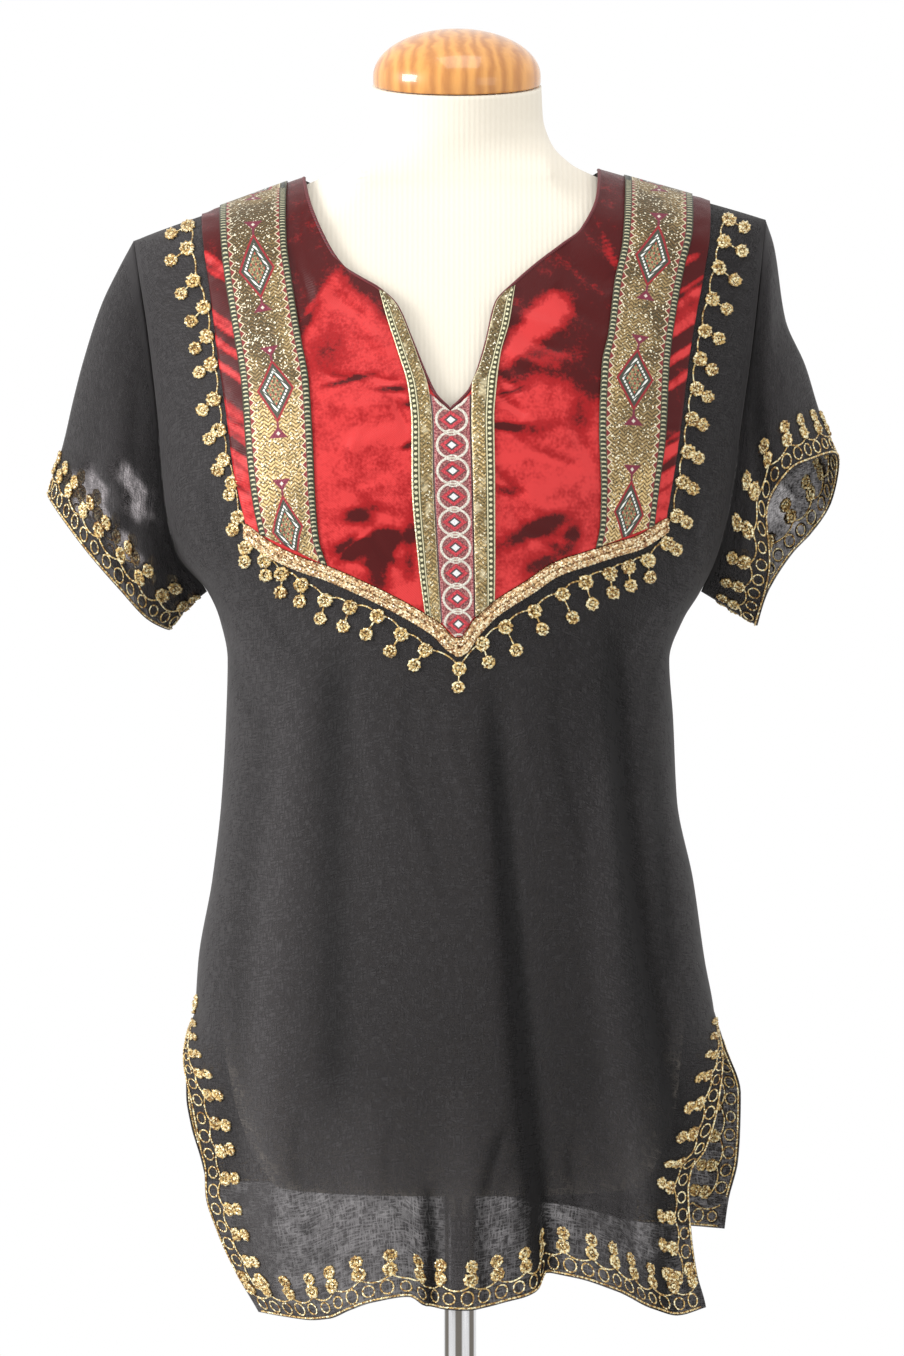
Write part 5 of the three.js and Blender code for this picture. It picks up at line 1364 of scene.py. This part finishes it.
def border(place, start, end, pick, closed=False, rosettes=True, lean=0.0):
    """Edging line, rings, scallops and rosettes along an edge between two lengths of it."""
    steps = np.arange(start, end, 0.9)
    blocks = [line_motif(place, steps, np.full_like(steps, EDGE_IN), THREAD * 1.15)]
    count = max(1, round((end - start) / RING_PITCH))
    pitch = (end - start) / count
    for number in range(count):
        size = RING_RADIUS * pick.uniform(0.88, 1.08)
        inwards = RING_IN + pick.normal(0, 0.25)
        stretch = pick.uniform(0.92, 1.1)
        blocks.append(ring_motif(place, start + (number + 0.5) * pitch, inwards, size, stretch))
    waves = max(1, round((end - start) / SCALLOP_PITCH))
    wave = (end - start) / waves
    hang = SCALLOP_IN - 3.6 * np.sin(np.pi * ((steps - start) / wave % 1.0)) ** 0.8
    blocks.append(line_motif(place, steps, hang))
    for number in range((waves + (0 if closed else 1)) * rosettes):
        spot = start + number * wave + pick.normal(0, 0.5)
        spot = min(max(spot, start + 2), end - 2)
        beyond = spot + lean + pick.normal(0, 0.8)
        blocks += pair_motif(place, spot, SCALLOP_IN + 3.2, beyond, SCALLOP_IN + 11.4, pick)
    return blocks


def wrong_side(place):
    """The same places on the cloth's inside, where the stitches show through."""
    def inner(a, b):
        points, normals = place(a, b)
        return points - normals * (CLOTH + 0.05), -normals

    return inner


def edge_borders(grid, outwards, pick, on_back):
    """Borders along a panel's hem and up both its slits. The grid's rows go up from the hem."""
    hem, length = patch_sampler(grid, outwards)
    blocks = border(hem, 5.0, length - 5.0, pick, rosettes=not on_back)
    if on_back:
        blocks += border(wrong_side(hem), 5.0, 55.0, pick, rosettes=False)
        blocks += border(wrong_side(hem), length - 70.0, length - 5.0, pick, rosettes=False)
    slit_rows = int(np.argmax(grid[:, 0, 2] > SLIT_BORDER_TOP))
    for side in (grid[:slit_rows, ::-1], grid[:slit_rows]):
        place, length = patch_sampler(side.transpose(1, 0, 2), outwards)
        start, end = 21.0, length - 24.0
        blocks += border(place, start, end, pick)
        if on_back:
            blocks += border(wrong_side(place), start, end, pick)
        elif side[0, 0, 0] < 0:
            blocks += pair_motif(place, end + 13, 21.0, end + 18, 30.0, pick)
    return blocks


def stitched(name, blocks):
    return finish_piece(joined(name, blocks), gold_thread, "gold_braid")


# Shaded, middle and glinting tones of the embroidery thread, and its painted underside shade.
gold_thread = thread_material("gold thread", (0.21, 0.10, 0.026), (0.66, 0.45, 0.165),
                              (1.0, 0.92, 0.60), 1050.0, 0.35)
pick = np.random.default_rng(7)
yoke_work = []
steps = np.linspace(0, 1, 20)
swing = 3.6 * np.sin(np.pi * steps) ** 0.7
for number, (x1, z1, x2, z2) in enumerate(YOKE_ROSETTES):
    yoke_work += pair_motif(front_frame, x1, z1, x2, z2, pick, large=4.8)
    for x3, z3, _, _ in YOKE_ROSETTES[number + 1:number + 2]:
        away = swing / math.hypot(x1 - x2, z1 - z2)
        yoke_work.append(line_motif(front_frame, mix(x1, x3, steps) + away * (x1 - x2),
                                    mix(z1, z3, steps) + away * (z1 - z2)))
yoke_stitches = stitched("yoke_embroidery", yoke_work)

front_full = np.hstack([front_grids[0][:, ::-1], front_grids[1][:, 1:]])[:FRONT_LOW]
front_stitches = stitched("front_border", edge_borders(front_full, forwards, pick, False))
back_stitches = stitched("back_border", edge_borders(back_grid[:120], backwards, pick, True))
for row in SLEEVES:
    grid = sleeve_grids[row["name"]][::-1]
    heart = grid.mean(axis=(0, 1))
    place, length = patch_sampler(grid, lambda points: points - heart, closed=True)
    work = []
    for face in (place, wrong_side(place)):
        work += border(face, 0.0, length, pick, closed=True, lean=row["lean"])
    cuff_stitches = stitched(row["name"] + "_border", work)

# ---- dress form --------------------------------------------------------------------------
# A limbless torso, padded and covered in cream ribbed jersey, on which the blouse is shown. The
# neck is cut a little lower in front, where the wooden cap sits on it.
FORM = {
    "left": [(243, -121), (252, -128), (300, -147), (370, -156), (440, -145), (500, -124),
             (560, -112), (610, -124), (655, -141), (695, -152), (740, -164)],
    "right": [(243, 119), (252, 126), (300, 141), (370, 146), (440, 137), (500, 119),
              (560, 109), (610, 118), (655, 134), (695, 146), (740, 157)],
    "front": [(243, -93), (252, -98), (300, -107), (370, -111), (440, -106), (500, -94),
              (560, -91), (610, -108), (655, -124), (695, -129), (740, -121)],
    "back": [(243, 90), (252, 95), (300, 104), (370, 106), (440, 99), (500, 86), (560, 80),
             (610, 87), (655, 96), (695, 101), (740, 104)],
}
CLEARANCE = 3.6  # from the blouse's outside down to the form
UNDERSIDE = 243.0
NECK_TOP = 956.0
NECK_Y = 4.0
CAP_TILT = math.radians(13)


def form_side(side, z):
    shoulder = body_edge(side, z) - side * (30 * (1 - ease((z - 720) / 110)) + 5)
    return mix(curve(FORM["left" if side < 0 else "right"], z), shoulder, ease((z - 700) / 40))


def form_limit(side, z):
    """The form's half width, kept inside the blouse's shoulder line."""
    line = sorted((height - CLEARANCE, abs(x) - CLEARANCE) for x, height in SHOULDER_LINE
                  if x * side > 0 and height < 1040)
    widest = np.abs(form_side(side, z))
    return side * np.where(z < line[0][0], widest, np.minimum(widest, curve(line, z)))


def form_rings(levels, sides):
    z = levels[:, None]
    angle = 2 * np.pi * np.arange(sides)[None, :] / sides
    x = mix(form_limit(-1, z), form_limit(1, z), (1 - np.cos(angle)) / 2)
    middle = centre_x(z)
    half = np.abs(np.where(x < middle, form_side(-1, z), form_side(1, z)) - middle)
    front = mix(curve(FORM["front"], z), curve(BODY_FRONT, z) + 4.6, ease((z - 700) / 40))
    back = mix(curve(FORM["back"], z), curve(BODY_BACK, z) - 4.6, ease((z - 700) / 40))
    depth = np.where(angle < np.pi, front, back) * oval(np.minimum(1, np.abs(x - middle) / half))
    body = shoulder_roll(depth, shoulder_height(x) - CLEARANCE - z)
    round_neck = NECK_Y - np.sin(angle) * np.where(angle < np.pi, 55, 59)
    y = mix(body, round_neck, ease((z - 890) / 32))
    z = z + 0 * x + (y - NECK_Y) * math.tan(CAP_TILT) * ease((z - 915) / 41)
    return np.stack([x, y, z], -1)


levels = np.concatenate([np.linspace(UNDERSIDE, 820, 70), np.linspace(824, 935, 60),
                         np.linspace(938, NECK_TOP, 8)])
form_grid = form_rings(levels, 112)
under = [mix(form_grid[0], np.array([0, 0, UNDERSIDE]), share) for share in (0.999, 0.7, 0.35, 0.12)]
over = [mix(form_grid[-1], form_grid[-1].mean(axis=0), share) for share in (0.1, 0.5, 0.999)]
form_grid = np.concatenate([np.array(under), form_grid, np.array(over)])
rows, sides = form_grid.shape[:2]
faces = grid_faces(rows, sides, ring=True).reshape(-1, 4).tolist()
ends = [list(range(sides))[::-1], list(range((rows - 1) * sides, rows * sides))]
form = new_piece("dress_form", form_grid.reshape(-1, 3), faces + ends)
bpy.ops.object.shade_smooth()
finish = Finish("cream jersey")
ribs = finish.wave("X", 95.0, 0.6)
knit = finish.grain(700.0, 2.0, 0.6, (1, 1, 0.4))
finish.colour = finish.blend(knit * 0.5 + ribs * 0.3, (0.71, 0.65, 0.54), (0.785, 0.73, 0.63))
finish.bump(ribs + knit, 0.2, 0.0005)
jersey = finish.mixed({"Roughness": 0.9, "Sheen Weight": 0.2, "Specular IOR Level": 0.2})
finish_piece(form, jersey, "jersey", "form_torso")

# ---- neck cap ----------------------------------------------------------------------------
# A turned pine dome that closes the neck, varnished to a high gloss, with its grain running
# upright. It tips a little forwards with the neck.
CAP_RADIUS = 0.0546
CAP_FLATNESS = 0.56
CAP_FOOT = 0.006  # height of the straight part below the dome


def round_rim(piece, width, segments, angle=50):
    """Rounds off the edges of a hard piece that turn by more than an angle."""
    rim = piece.modifiers.new("rim", "BEVEL")
    rim.width = width
    rim.segments = segments
    rim.angle_limit = math.radians(angle)
    bpy.ops.object.modifier_apply(modifier="rim")
    bpy.ops.object.shade_smooth_by_angle(angle=math.radians(40))


select_only()
bpy.ops.mesh.primitive_uv_sphere_add(segments=72, ring_count=36, radius=CAP_RADIUS, location=(0, 0, 0))
cap = bpy.context.object
cap.name = "wooden_cap"
bpy.ops.object.mode_set(mode="EDIT")
bpy.ops.mesh.select_all(action="SELECT")
bpy.ops.transform.resize(value=(1, 1, CAP_FLATNESS))
bpy.ops.mesh.bisect(plane_co=(0, 0, 0.0003), plane_no=(0, 0, 1), use_fill=True, clear_inner=True)
bpy.ops.mesh.select_all(action="SELECT")
bpy.ops.transform.translate(value=(0, 0, CAP_FOOT))
bpy.ops.mesh.select_all(action="DESELECT")
bpy.ops.mesh.select_mode(type="FACE")
bpy.ops.object.mode_set(mode="OBJECT")
for face in cap.data.polygons:
    face.select = face.normal.z < -0.9
bpy.ops.object.mode_set(mode="EDIT")
bpy.ops.mesh.extrude_region_move(TRANSFORM_OT_translate={"value": (0, 0, -CAP_FOOT)})
bpy.ops.mesh.select_all(action="SELECT")
bpy.ops.mesh.normals_make_consistent(inside=False)
bpy.ops.object.mode_set(mode="OBJECT")
cap.rotation_euler = (CAP_TILT, 0, 0)
cap.location = (-0.002, NECK_Y * MM, (NECK_TOP + 0.4) * MM)
bpy.ops.object.transform_apply(location=True, rotation=True, scale=True)
round_rim(cap, 0.0018, 3)
finish = Finish("varnished pine")
rings = finish.wave("X", 34.0, 7.0, 3.0, (1.0, 1.0, 0.10), 1.6)
pores = finish.grain(900.0, 3.0, 0.6, (1, 1, 0.05))
finish.colour = finish.blend(pores * 0.35 + rings * 0.7, (0.42, 0.15, 0.026), (0.74, 0.34, 0.075))
finish.bump(pores, 0.12, 0.0003)
pine = finish.mixed({"Roughness": 0.32, "Coat Weight": 0.7, "Coat Roughness": 0.05})
finish_piece(cap, pine, "pine", "neck_cap")

# ---- stand -------------------------------------------------------------------------------
# A chromed tube screwed to a flat round steel foot through a turned collar. The tube ends
# inside the form.
TUBE_LENGTH = 0.2364
TUBE_FOOT = 0.0063  # height of the tube's and the collar's lower ends
COLLAR_HEIGHT = 0.022
FOOT_HEIGHT = 0.006

select_only()
bpy.ops.mesh.primitive_cylinder_add(vertices=64, radius=0.0105, depth=TUBE_LENGTH,
                                    location=(0, 0, TUBE_FOOT + TUBE_LENGTH / 2))
pole = bpy.context.object
pole.name = "stand_tube"
bpy.ops.object.transform_apply(location=True)
round_rim(pole, 0.0008, 2)
finish = Finish("chromed steel")
brushed = finish.grain(1400.0, 2.0, 0.6, (1, 1, 0.03))
# Painted reflection: dark bands of the room reflected in the chrome, set round the tube by angle.
painted_reflection_bands = (finish.axis(1).calc("ARCTAN2", finish.axis(0)) * 7.0 + 0.6).calc("SINE")
finish.colour = finish.blend(brushed, (0.60, 0.60, 0.61), (0.78, 0.78, 0.79))
finish.paint(painted_reflection_bands.span(-0.3, 0.5), (0.17, 0.155, 0.135))
cloud = finish.grain(30.0, 3.0, 0.6).span(0.3, 0.7, 0.16, 0.24)
chrome = finish.mixed({"Metallic": 1.0, "Roughness": cloud})
finish_piece(pole, chrome, "steel", "pole")

select_only()
bpy.ops.mesh.primitive_cone_add(vertices=64, radius1=0.021, radius2=0.0155, depth=COLLAR_HEIGHT,
                                location=(0, 0, TUBE_FOOT + COLLAR_HEIGHT / 2))
collar = bpy.context.object
collar.name = "stand_collar"
bpy.ops.object.transform_apply(location=True)
bpy.ops.object.mode_set(mode="EDIT")
bpy.ops.mesh.select_all(action="SELECT")
bpy.ops.mesh.bisect(plane_co=(0, 0, TUBE_FOOT + 0.006), plane_no=(0, 0, 1))
bpy.ops.transform.resize(value=(1.04, 1.04, 1))
bpy.ops.object.mode_set(mode="OBJECT")
round_rim(collar, 0.0010, 3, angle=12)
finish_piece(collar, chrome, "steel", "pole_collar")

select_only()
bpy.ops.mesh.primitive_cylinder_add(vertices=128, radius=0.145, depth=FOOT_HEIGHT,
                                    location=(0, 0, FOOT_HEIGHT / 2))
foot = bpy.context.object
foot.name = "stand_foot"
bpy.ops.object.transform_apply(location=True)
round_rim(foot, 0.0025, 4)
finish = Finish("brushed steel")
lines = finish.grain(900.0, 2.0, 0.6, (0.03, 1, 1))
finish.colour = finish.blend(lines, (0.40, 0.40, 0.41), (0.58, 0.58, 0.59))
brushed_steel = finish.mixed({"Metallic": 1.0, "Roughness": lines.span(0.3, 0.7, 0.30, 0.42)})
finish_piece(foot, brushed_steel, "steel", "base_plate")

# ---- floor and light ---------------------------------------------------------------------
# A plain pale floor under the stand and a white room, with a large soft lamp on the left, a
# weak one in front on the right and one above.
select_only()
bpy.ops.mesh.primitive_circle_add(vertices=96, radius=0.75, fill_type="NGON", location=(0, 0, -0.0002))
floor = bpy.context.object
floor.name = "floor"
finish = Finish("pale floor")
finish.colour = finish.blend(finish.grain(40.0), (0.80, 0.80, 0.79), (0.84, 0.84, 0.83))
floor.data.materials.append(finish.mixed({"Roughness": 0.9}))

world = bpy.data.worlds.new("white room")
bpy.context.scene.world = world
world.use_nodes = True
backdrop = next(node for node in world.node_tree.nodes if node.type == "BACKGROUND")
backdrop.inputs["Color"].default_value = (1.0, 1.0, 1.0, 1)
backdrop.inputs["Strength"].default_value = 1.0
for name, place, size, power in (("key lamp", (-2.7, -1.1, 1.5), 1.2, 75),
                                 ("fill lamp", (1.9, -2.2, 1.0), 1.4, 6),
                                 ("top lamp", (0.1, -0.6, 2.4), 1.0, 8)):
    lamp = bpy.data.lights.new(name, "AREA")
    lamp.size = size
    lamp.energy = power
    holder = bpy.data.objects.new(name, lamp)
    holder.location = place
    aim = np.array([0, 0, 0.6]) - np.array(place)
    holder.rotation_euler = (math.acos(-aim[2] / np.linalg.norm(aim)), 0, math.atan2(-aim[0], aim[1]))
    bpy.context.scene.collection.objects.link(holder)
bpy.context.scene.view_settings.view_transform = "Standard"
